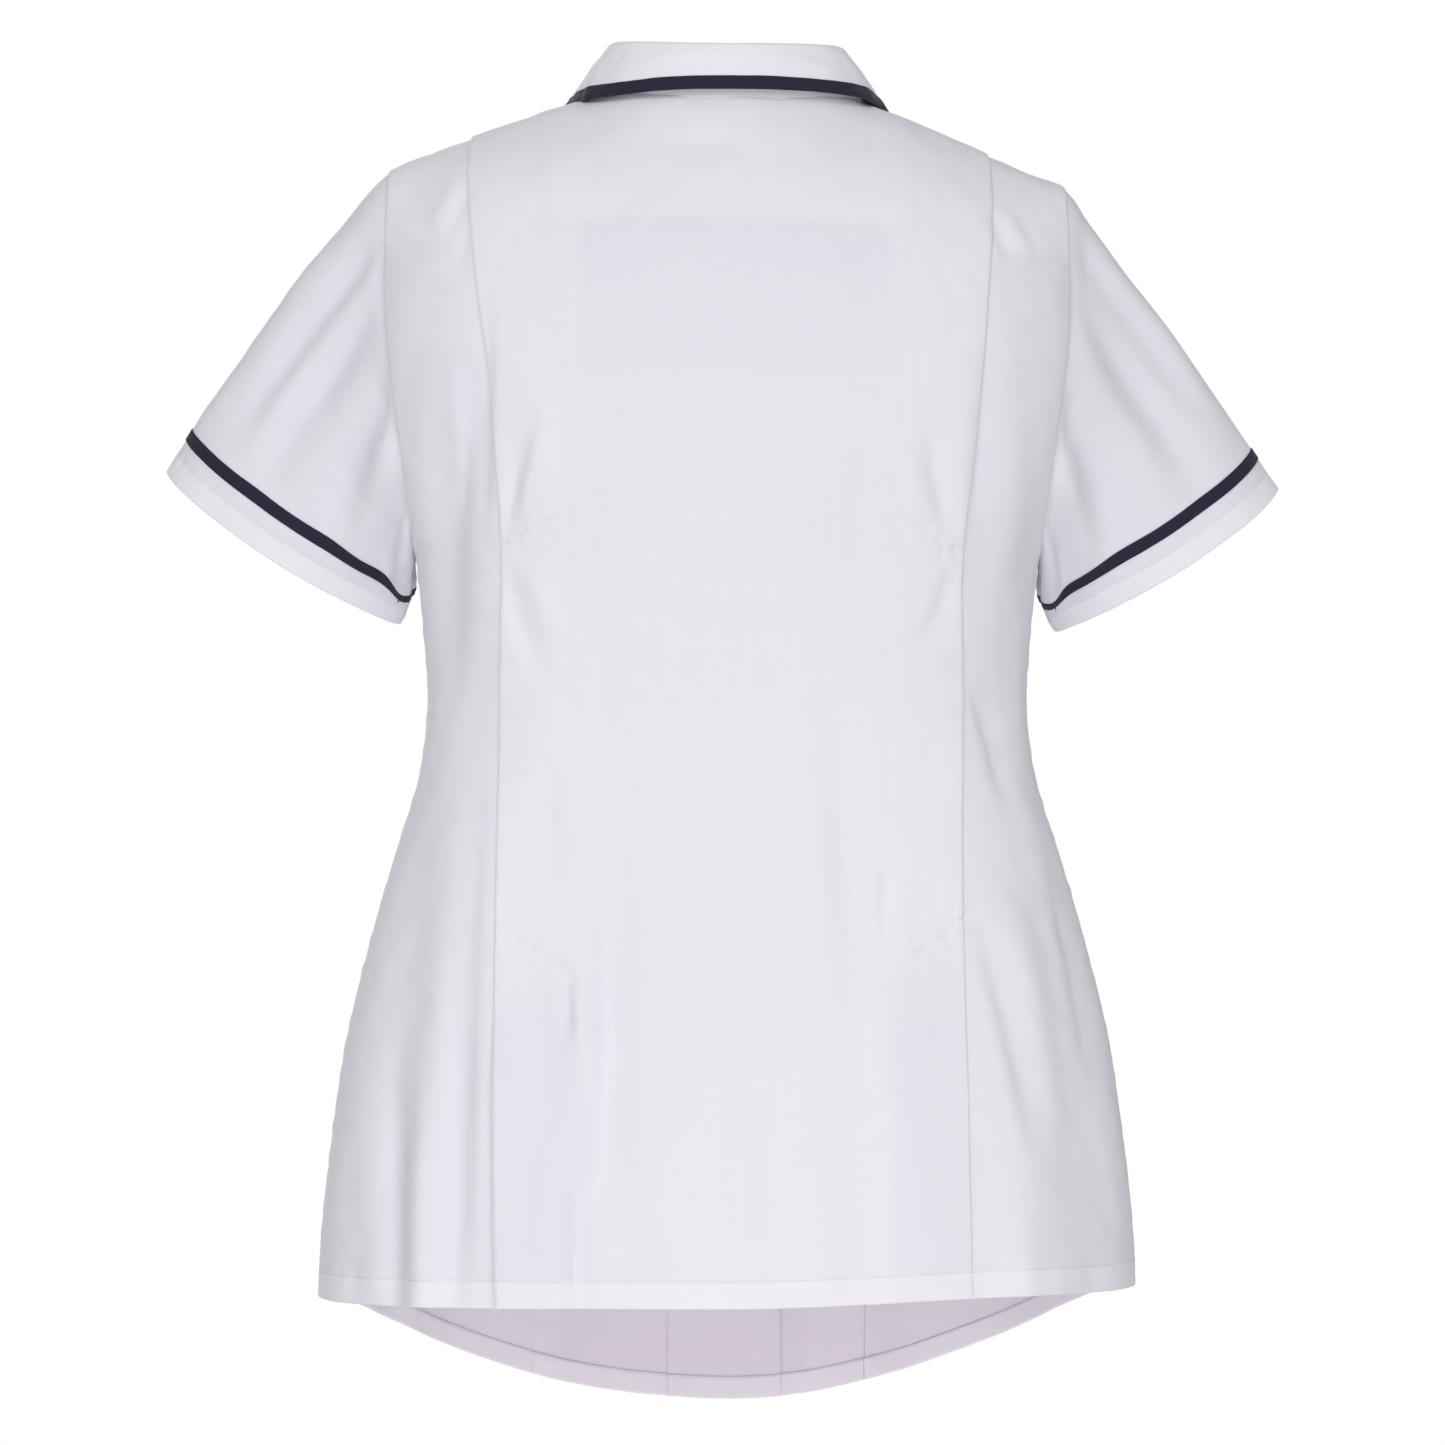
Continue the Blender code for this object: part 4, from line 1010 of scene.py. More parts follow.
def poly_cotton():
    """Woven poly-cotton: a matt plain weave that keeps a faint grid of threads, a little uneven.
    Two layers together let less light through, so hems, pleats and facings are painted whiter; the
    same layers value also paints shade and light on parts of the back and the sleeves."""
    cloth = bpy.context.scene.tunic_cloth
    material, tree, shader = new_material(FABRIC)
    uv = add(tree, "ShaderNodeUVMap", uv_map="Cut").outputs["UV"]
    # Real threads are about 0.35 mm apart. They are drawn further apart, to show at all
    threads = []
    for way in ("X", "Y"):
        thread_wave = add(
            tree, "ShaderNodeTexWave", {"Vector": uv, "Scale": WAVE_SPAN / cloth.thread_spacing,
            "Distortion": 0.8, "Detail": 1.0}, bands_direction=way,
        )
        threads.append(thread_wave.outputs["Fac"])
    weave = joined(tree, "MULTIPLY", *threads)
    # Thicker threads, about 0.6 mm wide and 40 mm long, run both ways
    slubs = []
    for stretch in ((1.0, 0.015, 1.0), (0.015, 1.0, 1.0)):
        place = add(tree, "ShaderNodeMapping", {"Vector": uv, "Scale": stretch})
        slub = add(
            tree, "ShaderNodeTexNoise", {"Vector": place.outputs["Vector"], "Scale": 1 / 0.0012,
            "Detail": 2.0},
        )
        slubs.append(slub.outputs["Fac"])
    slub = joined(tree, "ADD", *slubs)
    height = joined(tree, "ADD", weave, slub)
    bump = add(tree, "ShaderNodeBump", {"Height": height, "Strength": 0.22, "Distance": 0.00012})
    together = add(tree, "ShaderNodeAttribute", attribute_name="layers").outputs["Fac"]
    # Painted show-through: the layers value sets how much lighter or darker the cloth is painted,
    # partly from the cloth's own layers and partly painted light and shade
    painted_show_through = add(
        tree, "ShaderNodeMapRange", {"Value": together, "From Min": -1.0, "From Max": 2.0}
    ).outputs["Result"]
    ramp = ramp_between(tree, painted_show_through, cloth.shaded_behind_colour, cloth.thick_less_shaded_colour)
    # One layer alone is a third of the way from -1 to 2 layers
    ramp.color_ramp.elements.new(1 / 3).color = (*cloth.colour, 1)
    faint = add(
        tree, "ShaderNodeMapRange", {"Value": slub, "From Min": 0.6, "From Max": 1.4,
        "To Min": 0.975, "To Max": 1.01},
    ).outputs["Result"]
    # A mix node's inputs 6 and 7 and its output 2 are its colours
    mixed = add(
        tree, "ShaderNodeMix", {"Factor": 1.0, 6: ramp.outputs["Color"], 7: faint},
        data_type="RGBA", blend_type="MULTIPLY",
    )
    feed(tree, shader, {
        "Base Color": mixed.outputs[2], "Normal": bump.outputs["Normal"], "Roughness": 0.86,
        "Specular IOR Level": 0.30, "Sheen Weight": 0.10, "Sheen Roughness": 0.50,
    })
    return material


def navy_twill():
    """Woven twill tape in dark navy: fine slanting ribs, matt, with a soft light fuzz."""
    tape = bpy.context.scene.tunic_tape
    material, tree, shader = new_material(TWILL)
    uv = add(tree, "ShaderNodeUVMap", uv_map="Cut").outputs["UV"]
    # A real tape's ribs are about 0.5 mm apart. They are drawn 1 mm apart, to show at all
    turned = add(tree, "ShaderNodeMapping", {"Vector": uv, "Rotation": (0, 0, math.radians(50))})
    ribs = add(
        tree, "ShaderNodeTexWave", {"Vector": turned.outputs["Vector"], "Scale": WAVE_SPAN / 0.0010,
        "Distortion": 0.5, "Detail": 1.0}, bands_direction="X",
    ).outputs["Fac"]
    fuzz = add(
        tree, "ShaderNodeTexNoise", {"Vector": uv, "Scale": 1 / 0.0008, "Detail": 3.0}
    ).outputs["Fac"]
    height = joined(tree, "ADD", ribs, fuzz)
    bump = add(tree, "ShaderNodeBump", {"Height": height, "Strength": 0.45, "Distance": 0.00015})
    # Painted shade: the grooves between the ribs are darker
    ramp = ramp_between(tree, ribs, [x * 0.72 for x in tape.colour], tape.colour)
    feed(tree, shader, {
        "Base Color": ramp.outputs["Color"], "Normal": bump.outputs["Normal"], "Roughness": 0.80,
        "Specular IOR Level": 0.35, "Sheen Weight": 0.12, "Sheen Roughness": 0.45,
    })
    return material


def thread(name, colour):
    """Spun polyester sewing thread: slightly brighter than matt cloth, with a fine twist."""
    material, tree, shader = new_material(name)
    place = add(tree, "ShaderNodeTexCoord").outputs["Object"]
    # The twist repeats about every 0.5 mm
    twist = add(
        tree, "ShaderNodeTexWave", {"Vector": place, "Scale": WAVE_SPAN / 0.0005, "Distortion": 1.0},
        bands_direction="DIAGONAL",
    ).outputs["Fac"]
    bump = add(tree, "ShaderNodeBump", {"Height": twist, "Strength": 0.4, "Distance": 0.00006})
    # Painted shade: the grooves of the twist are darker
    ramp = ramp_between(tree, twist, [x * 0.88 for x in colour], colour)
    feed(tree, shader, {
        "Base Color": ramp.outputs["Color"], "Normal": bump.outputs["Normal"], "Roughness": 0.55,
    })
    return material


MAKERS = {
    FABRIC: poly_cotton,
    TWILL: navy_twill,
    WHITE_THREAD: lambda: thread(WHITE_THREAD, bpy.context.scene.tunic_stitches.colour),
    NAVY_THREAD: lambda: thread(NAVY_THREAD, bpy.context.scene.tunic_tape.thread),
}


def material_named(name):
    """The material of that name, made the first time that it is asked for."""
    return bpy.data.materials.get(name) or MAKERS[name]()


def soft_box(x, z, box, soft):
    """1 inside a box of x and z, fading to 0 over its soft edge."""
    x_low, x_high, z_low, z_high = box
    across = step_at(x_low, soft, x) * (1 - step_at(x_high, soft, x))
    return across * step_at(z_low, soft, z) * (1 - step_at(z_high, soft, z))


def hem_layers(face, v):
    """Two layers of cloth below the hem's stitching."""
    depth = hem_depth(face) / (CHEST_Z - HEM_SIDE)
    return step_at(2 - depth, HEM_EDGE_V, v)


# Tones, in layers of cloth: how much lighter each part is painted than one layer alone. Less of
# the shade in the hollow behind shows through where layers lie together, and that is painted into
# the colour. The side, behind-facing, sleeve and pleat-shade tones are painted shade, and the upper
# side and shoulder ones painted light
HEM_TONE = 0.6
FRONT_HEM_TONE = 0.9
PLEAT_TONE = 0.25
PLEAT_SHADE = 0.65
PLEAT_SHADE_DOWN = (0.47, 0.56)  # metres down, over which the pleats' layers start to hang free
NECK_FACING_TONE = 0.35
# Painted shade where the hollow behind the back shows through, below the neck facing
BEHIND_FACING_PAINTED_SHADE = -0.22
# Painted shade: the back's side panels darker, where they turn away from the light
SIDE_PAINTED_SHADE = -0.25
# The shoulder facing seen through, and painted light that makes the shoulders lighter
SHOULDER_FACING_AND_PAINTED_LIGHT = 0.50
# Painted light: the side panels lighter above the chest
UPPER_SIDE_PAINTED_LIGHT = 0.30
# Painted shade: the sleeves darker, where they turn away from the light
SLEEVE_PAINTED_SHADE = -0.2
SLEEVE_HEM_TONE = 1.1
SLEEVE_TURNED_TONE = 0.9
COLLAR_TONE = 1.0

# How soft the edges of the tones are: metres each side, or as much in u or v
LAYER_EDGE = 0.0006
BEHIND_EDGE = 0.0040
UPPER_SIDE_EDGE = 0.006
PLEAT_EDGE_U = 0.006
HEM_EDGE_V = 0.001

# The neck facing, painted lighter, and the hollow behind the back below it, painted shade: both seen
# through the back as tones
NECK_FACING = (-0.102, 0.104, -0.0742, 0.050)
BEHIND_FACING = (-0.086, 0.098, -0.1650, -0.0742)
SHOULDER_FACING_Z = -0.0860
UPPER_SIDE_LIGHT_Z = -0.150

# The left pleat gapes below its lower stitching
GAPE_TOP = -0.490
GAPE_FULL = -0.620
GAPE = 0.0034
GAPE_REACH = 0.020


def gape(points, distance):
    """How far the left pleat's fold stands off the side panel."""
    return GAPE * ease(-GAPE_TOP, -GAPE_FULL, -points[..., 2]) * bell(distance, GAPE_REACH)


def centre_lift(u, v, points):
    """The centre back lies two layers up over its pleats, and comes down between them."""
    reach = np.maximum(BACK_STATIONS["inner_right"] - np.abs(u), 0)
    level = 2 * LAYER * (1 - ease(0, RETURN_EASE_U, reach))
    fold_x = read(BACK_LINES, "fold_left", points[..., 2])
    return level + gape(points, points[..., 0] - fold_x)


def back_centre_cloth(cloth, rows, fabric):
    """The centre back, its pleats folded under at both sides."""
    fold, inner = BACK_STATIONS["fold_right"], BACK_STATIONS["inner_right"]
    neck = BACK_STATIONS["neck_right"]
    under = evenly(inner, fold, UNDER_COLUMNS)
    top = []
    stops = (-fold, -inner, -neck, neck, inner, fold)
    for first, stop, count in zip(stops, stops[1:], CENTRE_COLUMNS):
        top += evenly(first, stop, count)[1:]
    top = top[:-1]
    left_under = [Line(-line.at, 0, LAYER, 0) for line in under]
    right_under = lifted(under[::-1], LAYER)
    left_fold = fold_round(-fold, LAYER / 2, 1.5 * LAYER, -1)
    right_fold = fold_round(fold, LAYER / 2, 1.5 * LAYER, 1)[::-1]
    left = left_under[:-1] + left_fold
    right = right_fold + right_under[1:]
    across = left + top + right
    on_top = np.zeros(len(across))
    on_top[len(left) : len(left) + len(top)] = 1
    opened = np.zeros(len(across))
    opened[len(left) - len(left_fold) : len(left)] = np.linspace(0, 1, len(left_fold))

    def lift(u, v, points):
        beside_it = opened[None, :] * gape(points, 0)
        return np.where(on_top[None, :] > 0, centre_lift(u, v, points), beside_it)

    net, u, v = lay(BACK, across, rows, lift)
    x, z = net[..., 0], net[..., 2]
    pleat = step_at(inner, PLEAT_EDGE_U, np.abs(u)) * on_top[None, :]
    facing = soft_box(x, z, NECK_FACING, LAYER_EDGE)
    behind = soft_box(x, z, BEHIND_FACING, BEHIND_EDGE)
    # The pleats' layers are painted lighter at the ribs, and painted shade where they hang free below
    # the hips
    pleat = pleat * (PLEAT_TONE - PLEAT_SHADE * ease(*PLEAT_SHADE_DOWN, -z))
    # The neck facing is painted lighter, and the hollow behind the back below it painted shade
    layers = pleat + facing * NECK_FACING_TONE + behind * BEHIND_FACING_PAINTED_SHADE
    layers = layers + hem_layers(BACK, v) * HEM_TONE
    return shell("back_centre_cloth", net, BACK.way, cloth.thickness, fabric, layers)


def back_side_cloth(cloth, rows, fabric, side):
    """A back side panel, from the side seam to under the pleat."""
    fold, inner = BACK_STATIONS["fold_right"], BACK_STATIONS["inner_right"]
    across = seam_edge(side, -side) + evenly(side, side * fold, BACK_SIDE_COLUMNS)[1:]
    across += evenly(side * fold, side * inner, UNDER_SIDE_COLUMNS)[1:]
    if side > 0:
        across = across[::-1]
    net, _, v = lay(BACK, across, rows)
    z = net[..., 2]
    # Painted shade over the whole side panel; painted lighter in its hem and over the shoulder facing,
    # and painted light above the chest
    layers = hem_layers(BACK, v) * HEM_TONE + SIDE_PAINTED_SHADE
    layers = layers + step_at(SHOULDER_FACING_Z, LAYER_EDGE, z) * SHOULDER_FACING_AND_PAINTED_LIGHT
    layers = layers + step_at(UPPER_SIDE_LIGHT_Z, UPPER_SIDE_EDGE, z) * UPPER_SIDE_PAINTED_LIGHT
    name = "back_side_left_cloth" if side < 0 else "back_side_right_cloth"
    return shell(name, net, BACK.way, cloth.thickness, fabric, layers)


def lap_lift(u, v, points):
    """The right centre front lies one layer up over the left one, and comes down to its seam."""
    return between(FRONT, u, [0, 0] + [LAYER] * 6 + [0, 0])


def facing_lift(u, v, points):
    """The left front's facing lies one layer in."""
    return np.full(u.shape, -LAYER)


# The front panels, each from one station to another: seams says whether its first and its last
# edge roll in to a seam, width is the flat cloth's and area the cut cloth's
FrontPanel = namedtuple("FrontPanel", "node first last seams lift columns width area")
FRONT_PANELS = (
    FrontPanel(
        "front_side_left", "side_left", "seam_left", (True, True), None, FRONT_COLUMNS, 0.235, 0.130
    ),
    FrontPanel(
        "front_side_right", "seam_right", "side_right", (True, True), None, FRONT_COLUMNS, 0.245, 0.135
    ),
    FrontPanel(
        "front_centre_left", "seam_left", "lap_left", (True, False), None, FRONT_COLUMNS, 0.185, 0.125
    ),
    FrontPanel(
        "front_centre_right", "lap_right", "seam_right", (False, True), lap_lift, FRONT_COLUMNS,
        0.170, 0.110,
    ),
    FrontPanel(
        "front_facing_left", "facing", "lap_left", (False, False), facing_lift, FACING_COLUMNS,
        0.085, 0.055,
    ),
)


def front_cloth(panel, cloth, rows, fabric):
    """A front panel. A seamed edge rolls in, a free one is plain."""
    start, stop = FRONT_STATIONS[panel.first], FRONT_STATIONS[panel.last]
    across = evenly(start, stop, panel.columns)
    across = (seam_edge(start, 1) + across[1:]) if panel.seams[0] else across
    across = (across[:-1] + seam_edge(stop, -1)[::-1]) if panel.seams[1] else across
    net, _, v = lay(FRONT, across, rows, panel.lift)
    layers = hem_layers(FRONT, v) * FRONT_HEM_TONE
    return shell(panel.node + "_cloth", net, FRONT.way, cloth.thickness, fabric, layers)


class TunicCloth(bpy.types.PropertyGroup):
    """The white cloth of the tunic."""

    thickness: bpy.props.FloatProperty(
        name="Cloth thickness", description="One layer of cloth with its finish",
        default=0.0006, min=0.0003, max=0.0012, precision=5, unit="LENGTH",
    )
    hem_depth: bpy.props.FloatProperty(
        name="Hem depth", description="From the hem's edge up to its stitching",
        default=0.0150, min=0.005, max=0.040, precision=4, unit="LENGTH",
    )
    front_hem: bpy.props.FloatProperty(
        name="Front hem depth", description="The same for the longer front",
        default=0.0120, min=0.005, max=0.040, precision=4, unit="LENGTH",
    )
    sleeve_hem: bpy.props.FloatProperty(
        name="Sleeve hem depth", description="From the cuff's edge up to its stitching",
        default=0.0125, min=0.005, max=0.020, precision=4, unit="LENGTH",
    )
    crease_depth: bpy.props.FloatProperty(
        name="Crease depth", description="How deep the fine creases are, against their tables",
        default=1.5, min=0.0, max=2.0, subtype="FACTOR",
    )
    pucker: bpy.props.FloatProperty(
        name="Pucker height", description="How high the cloth puckers beside its stitching",
        default=0.00030, min=0.0, max=0.0010, precision=5, unit="LENGTH",
    )
    thread_spacing: bpy.props.FloatProperty(
        name="Thread spacing", description="From one thread of the weave to the next, as drawn",
        default=0.0011, min=0.0003, max=0.0020, precision=5, unit="LENGTH",
    )
    colour: bpy.props.FloatVectorProperty(
        name="One layer", description="The cloth where one layer lies alone",
        default=linear("#E3E2EA"), min=0, max=1, size=3, subtype="COLOR",
    )
    # Painted lighter: the least of the hollow's shade shows through three layers
    thick_less_shaded_colour: bpy.props.FloatVectorProperty(
        name="Three layers", description="The cloth where three layers lie together",
        default=linear("#EFEFF6"), min=0, max=1, size=3, subtype="COLOR",
    )
    # Painted shade: the hollow behind the cloth showing through
    shaded_behind_colour: bpy.props.FloatVectorProperty(
        name="Shaded behind", description="The cloth where the hollow behind it shows through",
        default=linear("#D9D8E2"), min=0, max=1, size=3, subtype="COLOR",
    )


class TunicTape(bpy.types.PropertyGroup):
    """The contrast tape on the collar and sleeves."""

    thickness: bpy.props.FloatProperty(
        name="Tape thickness", description="The tape with its edges turned under",
        default=0.0006, min=0.0003, max=0.0012, precision=5, unit="LENGTH",
    )
    colour: bpy.props.FloatVectorProperty(
        name="Tape", description="The tape's navy",
        default=linear("#1C2037"), min=0, max=1, size=3, subtype="COLOR",
    )
    thread: bpy.props.FloatVectorProperty(
        name="Tape thread", description="The thread that sews the tape on",
        default=linear("#20243C"), min=0, max=1, size=3, subtype="COLOR",
    )


class TunicStitches(bpy.types.PropertyGroup):
    """The topstitching."""

    length: bpy.props.FloatProperty(
        name="Stitch length", description="One stitch on the face of the cloth",
        default=0.0022, min=0.001, max=0.005, precision=5, unit="LENGTH",
    )
    gap: bpy.props.FloatProperty(
        name="Gap", description="From the end of one stitch to the start of the next",
        default=0.0005, min=0.0001, max=0.002, precision=5, unit="LENGTH",
    )
    thread: bpy.props.FloatProperty(
        name="Thread", description="The thread's diameter",
        default=0.00036, min=0.0001, max=0.001, precision=5, unit="LENGTH",
    )
    colour: bpy.props.FloatVectorProperty(
        name="Thread colour", description="The white thread",
        default=linear("#EAE9EE"), min=0, max=1, size=3, subtype="COLOR",
    )


class TunicStage(bpy.types.PropertyGroup):
    """The floor, lights and camera."""

    floor_z: bpy.props.FloatProperty(
        name="Floor height", description="The floor, as far down as a wearer's shoulders stand up",
        default=-1.40, min=-2.0, max=-0.9, unit="LENGTH",
    )
    floor_radius: bpy.props.FloatProperty(
        name="Floor radius", description="The round floor, just too small to show from the front",
        default=5.2, min=1.0, max=20.0, unit="LENGTH",
    )
    floor_colour: bpy.props.FloatVectorProperty(
        name="Floor", description="The pale floor",
        default=linear("#F4F3F4"), min=0, max=1, size=3, subtype="COLOR",
    )
    sky: bpy.props.FloatProperty(
        name="Room light", description="The even light of a white studio",
        default=0.45, min=0.0, max=2.0,
    )
    key: bpy.props.FloatProperty(
        name="Soft light", description="The large soft light on the back, a little from the right",
        default=24.0, min=0.0, max=500.0, subtype="POWER",
    )
    frontal: bpy.props.FloatProperty(
        name="High light", description="The soft light above the camera, from the left",
        default=52.0, min=0.0, max=500.0, subtype="POWER",
    )
    low: bpy.props.FloatProperty(
        name="Low light", description="The nearly white light from below, on the lower back and hem",
        default=3.8, min=0.0, max=500.0, subtype="POWER",
    )
    far: bpy.props.FloatProperty(
        name="Far light", description="The soft light on the front",
        default=70.0, min=0.0, max=500.0, subtype="POWER",
    )
    inside: bpy.props.FloatProperty(
        name="Inside light", description="The rosy light that the front's inside gets under the hem",
        default=0.20, min=0.0, max=5.0, subtype="POWER",
    )
    inside_colour: bpy.props.FloatVectorProperty(
        name="Inside light's colour", description="The rose tint that the photo has inside the hem",
        default=linear("#FFC8DE"), min=0, max=1, size=3, subtype="COLOR",
    )
    low_colour: bpy.props.FloatVectorProperty(
        name="Low light's colour", description="White with a trace of rose",
        default=linear("#FFF5F6"), min=0, max=1, size=3, subtype="COLOR",
    )


def back_pieces(cloth, fabric):
    rows = panel_rows(cloth.hem_depth, cloth.thickness)
    centre = back_centre_cloth(cloth, rows, fabric)
    sew_on(centre, "poly_cotton", "back_centre")
    for side, node, width, area in (
        (-1, "back_side_left", 0.250, 0.130), (1, "back_side_right", 0.230, 0.120),
    ):
        piece = back_side_cloth(cloth, rows, fabric, side)
        sew_on(piece, "poly_cotton", node)


class TUNIC_OT_back(bpy.types.Operator):
    """Sew the back: the pleated centre panel and the side panels under its pleats"""

    bl_idname = "tunic.back"
    bl_label = "Back panels"

    def execute(self, context):
        back_pieces(context.scene.tunic_cloth, material_named(FABRIC))
        return {"FINISHED"}


class TUNIC_OT_fronts(bpy.types.Operator):
    """Sew the fronts: side panels, lapped centre panels and the left one's facing"""

    bl_idname = "tunic.fronts"
    bl_label = "Front panels"

    def execute(self, context):
        cloth = context.scene.tunic_cloth
        fabric = material_named(FABRIC)
        rows = panel_rows(cloth.front_hem, cloth.thickness)
        for panel in FRONT_PANELS:
            piece = front_cloth(panel, cloth, rows, fabric)
            sew_on(piece, "poly_cotton", panel.node)
        return {"FINISHED"}


def armhole_ring(side, count=34):
    """The armhole's edge from the underarm up the front, over the shoulder and down the back to
    the underarm again: points, out, the way on across the seam, and the turn round the sleeve."""
    top = np.linspace(0, 1, count, endpoint=False)
    arm = 1 + (UNDERARM_V - 1) * np.sin(np.linspace(0, math.pi / 2, count, endpoint=False))
    down = np.concatenate([top, arm, [UNDERARM_V]])
    back, back_out, _, _ = look_up(BACK, side, down)
    front, front_out, _, _ = look_up(FRONT, side, down)
    points = np.concatenate([back, front[-2:0:-1]])
    out = np.concatenate([back_out, front_out[-2:0:-1]])
    out[0] = unit(back_out[0] + front_out[0])
    under = len(down) - 1
    out[under] = unit(back_out[-1] + front_out[-1])
    along = unit(np.roll(points, -1, axis=0) - np.roll(points, 1, axis=0))
    across = unit(np.cross(out, along)) * side
    steps = np.linalg.norm(np.roll(points, -1, axis=0) - points, axis=-1)
    run = np.concatenate([[0], np.cumsum(steps)])
    half, whole = run[under], run[-1]
    run = run[:-1]
    turn = np.where(run <= half, run / half, 1 + (run - half) / (whole - half)) * math.pi

    def from_underarm(values):
        rolled = np.roll(values, -under, axis=0)
        return np.concatenate([rolled, rolled[:1]])

    return from_underarm(points), from_underarm(out), from_underarm(across), from_underarm(turn)


def half_turns(turn):
    """Turns from 0 to a whole one, as from minus half to plus half a turn round from the shoulder."""
    return np.where(turn > math.pi, turn - 2 * math.pi, turn)


def sleeve_rails(side):
    """Lines along the sleeve from the armhole to the cuff, one for each point of the armhole."""
    points, out, across, turn = armhole_ring(side)
    mirror = np.array([side, 1, 1])
    cuff_out = np.array(CUFF_OUT) * mirror
    deep = unit(np.array([CUFF_OUT[2] * CUFF_TILT, -1, -CUFF_OUT[0] * CUFF_TILT]) * mirror)
    axis = unit(np.cross(cuff_out, deep) * side)
    # Under the arm the sleeve leaves the body nearly straight, so that no cloth bunches inside it
    under = bell(math.pi - np.abs(half_turns(turn)), UNDER_REACH)
    beside_body = (ALONG_BODY * (1 - UNDER_STRAIGHT * under))[:, None]
    way = unit(across * beside_body + axis * (1 - beside_body))
    start = points - out * SLEEVE_SEAM + across * SLEEVE_SEAM
    long_part = CUFF_LONG * np.cos(turn)[:, None] * cuff_out
    pointed = np.sign(np.sin(turn)) * np.abs(np.sin(turn)) ** CUFF_POINT
    deep_part = CUFF_DEEP * pointed[:, None] * deep
    end = np.array(CUFF_CENTRE) * mirror + long_part + deep_part
    end[:, 2] += LEFT_CUFF_RISE if side < 0 else 0
    length = np.linalg.norm(end - start, axis=-1, keepdims=True)
    t = np.linspace(0, 1, RAIL_POINTS)[:, None, None]
    rails = (
        (2 * t**3 - 3 * t**2 + 1) * start
        + (t**3 - 2 * t**2 + t) * way * length * LEAVE_PULL
        + (3 * t**2 - 2 * t**3) * end
        + (t**3 - t**2) * axis * length * CUFF_PULL
    )
    tucked = points - across * SEAM_TUCK - out * SEAM_TUCK_IN
    return np.concatenate([tucked[None], rails]), turn


def along_rails(rails, places):
    """Points on each rail at lengths measured up from the cuff; places has a row for each."""
    result = np.zeros((len(places), rails.shape[1], 3))
    for j in range(rails.shape[1]):
        rail = rails[::-1, j]
        run = run_along(rail)
        for k in range(3):
            result[:, j, k] = np.interp(places[:, j], run, rail[:, k])
    return result


def sleeve_folds(folds, turn, share):
    """How far a sleeve's soft folds lift it. turn is degrees from the shoulder."""
    total = np.zeros(np.broadcast(turn, share).shape)
    for fold in folds:
        along = np.clip((share - fold.start) / (fold.stop - fold.start), 0, 1)
        off = (turn - fold.turn - fold.drift * along + 180) % 360 - 180
        total += fold.height * swell(along, 0.35, 0.6) * bell(off, fold.width)
    return total


def sleeve_net(side, cloth):
    """The sleeve's net from the armhole to its cuff, and its lengths up from the cuff."""
    rails, turn = sleeve_rails(side)
    length = np.linalg.norm(np.diff(rails, axis=0), axis=-1).sum(axis=0)
    at_stitches = [cloth.sleeve_hem + row for row in ROWS_AT_STITCHES]
    near = [*ROWS_UNDER_STITCHES, *at_stitches, *ROWS_OVER_STITCHES]
    near += list(np.linspace(CUFF_TO_TAPE, CUFF_TO_TAPE + TAPE_WIDTH, SLEEVE_TAPE_ROWS))
    far = np.linspace(0, 1, SLEEVE_ROWS)[1:]
    places = [np.full_like(length, place) for place in near]
    places += [near[-1] + (length - near[-1]) * share for share in far]
    places = np.array(places)[::-1]
    net = along_rails(rails, places)
    degrees = np.degrees(half_turns(turn))
    share = 1 - places / length
    # The side is also the net's own way round, so that its right side faces out
    out = net_out(net, side)
    folds = LEFT_SLEEVE_FOLDS if side < 0 else RIGHT_SLEEVE_FOLDS
    lift = sleeve_folds(folds, degrees[None, :], share) * cloth.crease_depth
    lift = lift + waves(net, SLEEVE_WAVES) * cloth.crease_depth
    lift = lift * ease(0.0, SLEEVE_FOLDS_FULL, share)
    lift = lift - HEAD_DIVE * bell(length - places, HEAD_REACH)
    sewn = bell(places - cloth.sleeve_hem, HEM_PUCKERS)
    sewn = sewn + SLEEVE_HEAD_PUCKERED * beside(length - places, SEAM_PUCKERS)
    lift = lift + ripple(net, PUCKER_WAVE, 37) * cloth.pucker * sewn
    lift = lift - SLEEVE_DIP * bell(places - cloth.sleeve_hem, SLEEVE_DIP_REACH)
    return net + out * lift[..., None], places


def drawn_in(ring, gap):
    """A ring of points a gap smaller all round. It shrinks to its middle, so that its corners
    stay clean where it is pointed."""
    arms = ring - ring[:-1].mean(axis=0)
    return ring - arms * gap / np.linalg.norm(arms, axis=-1).min()


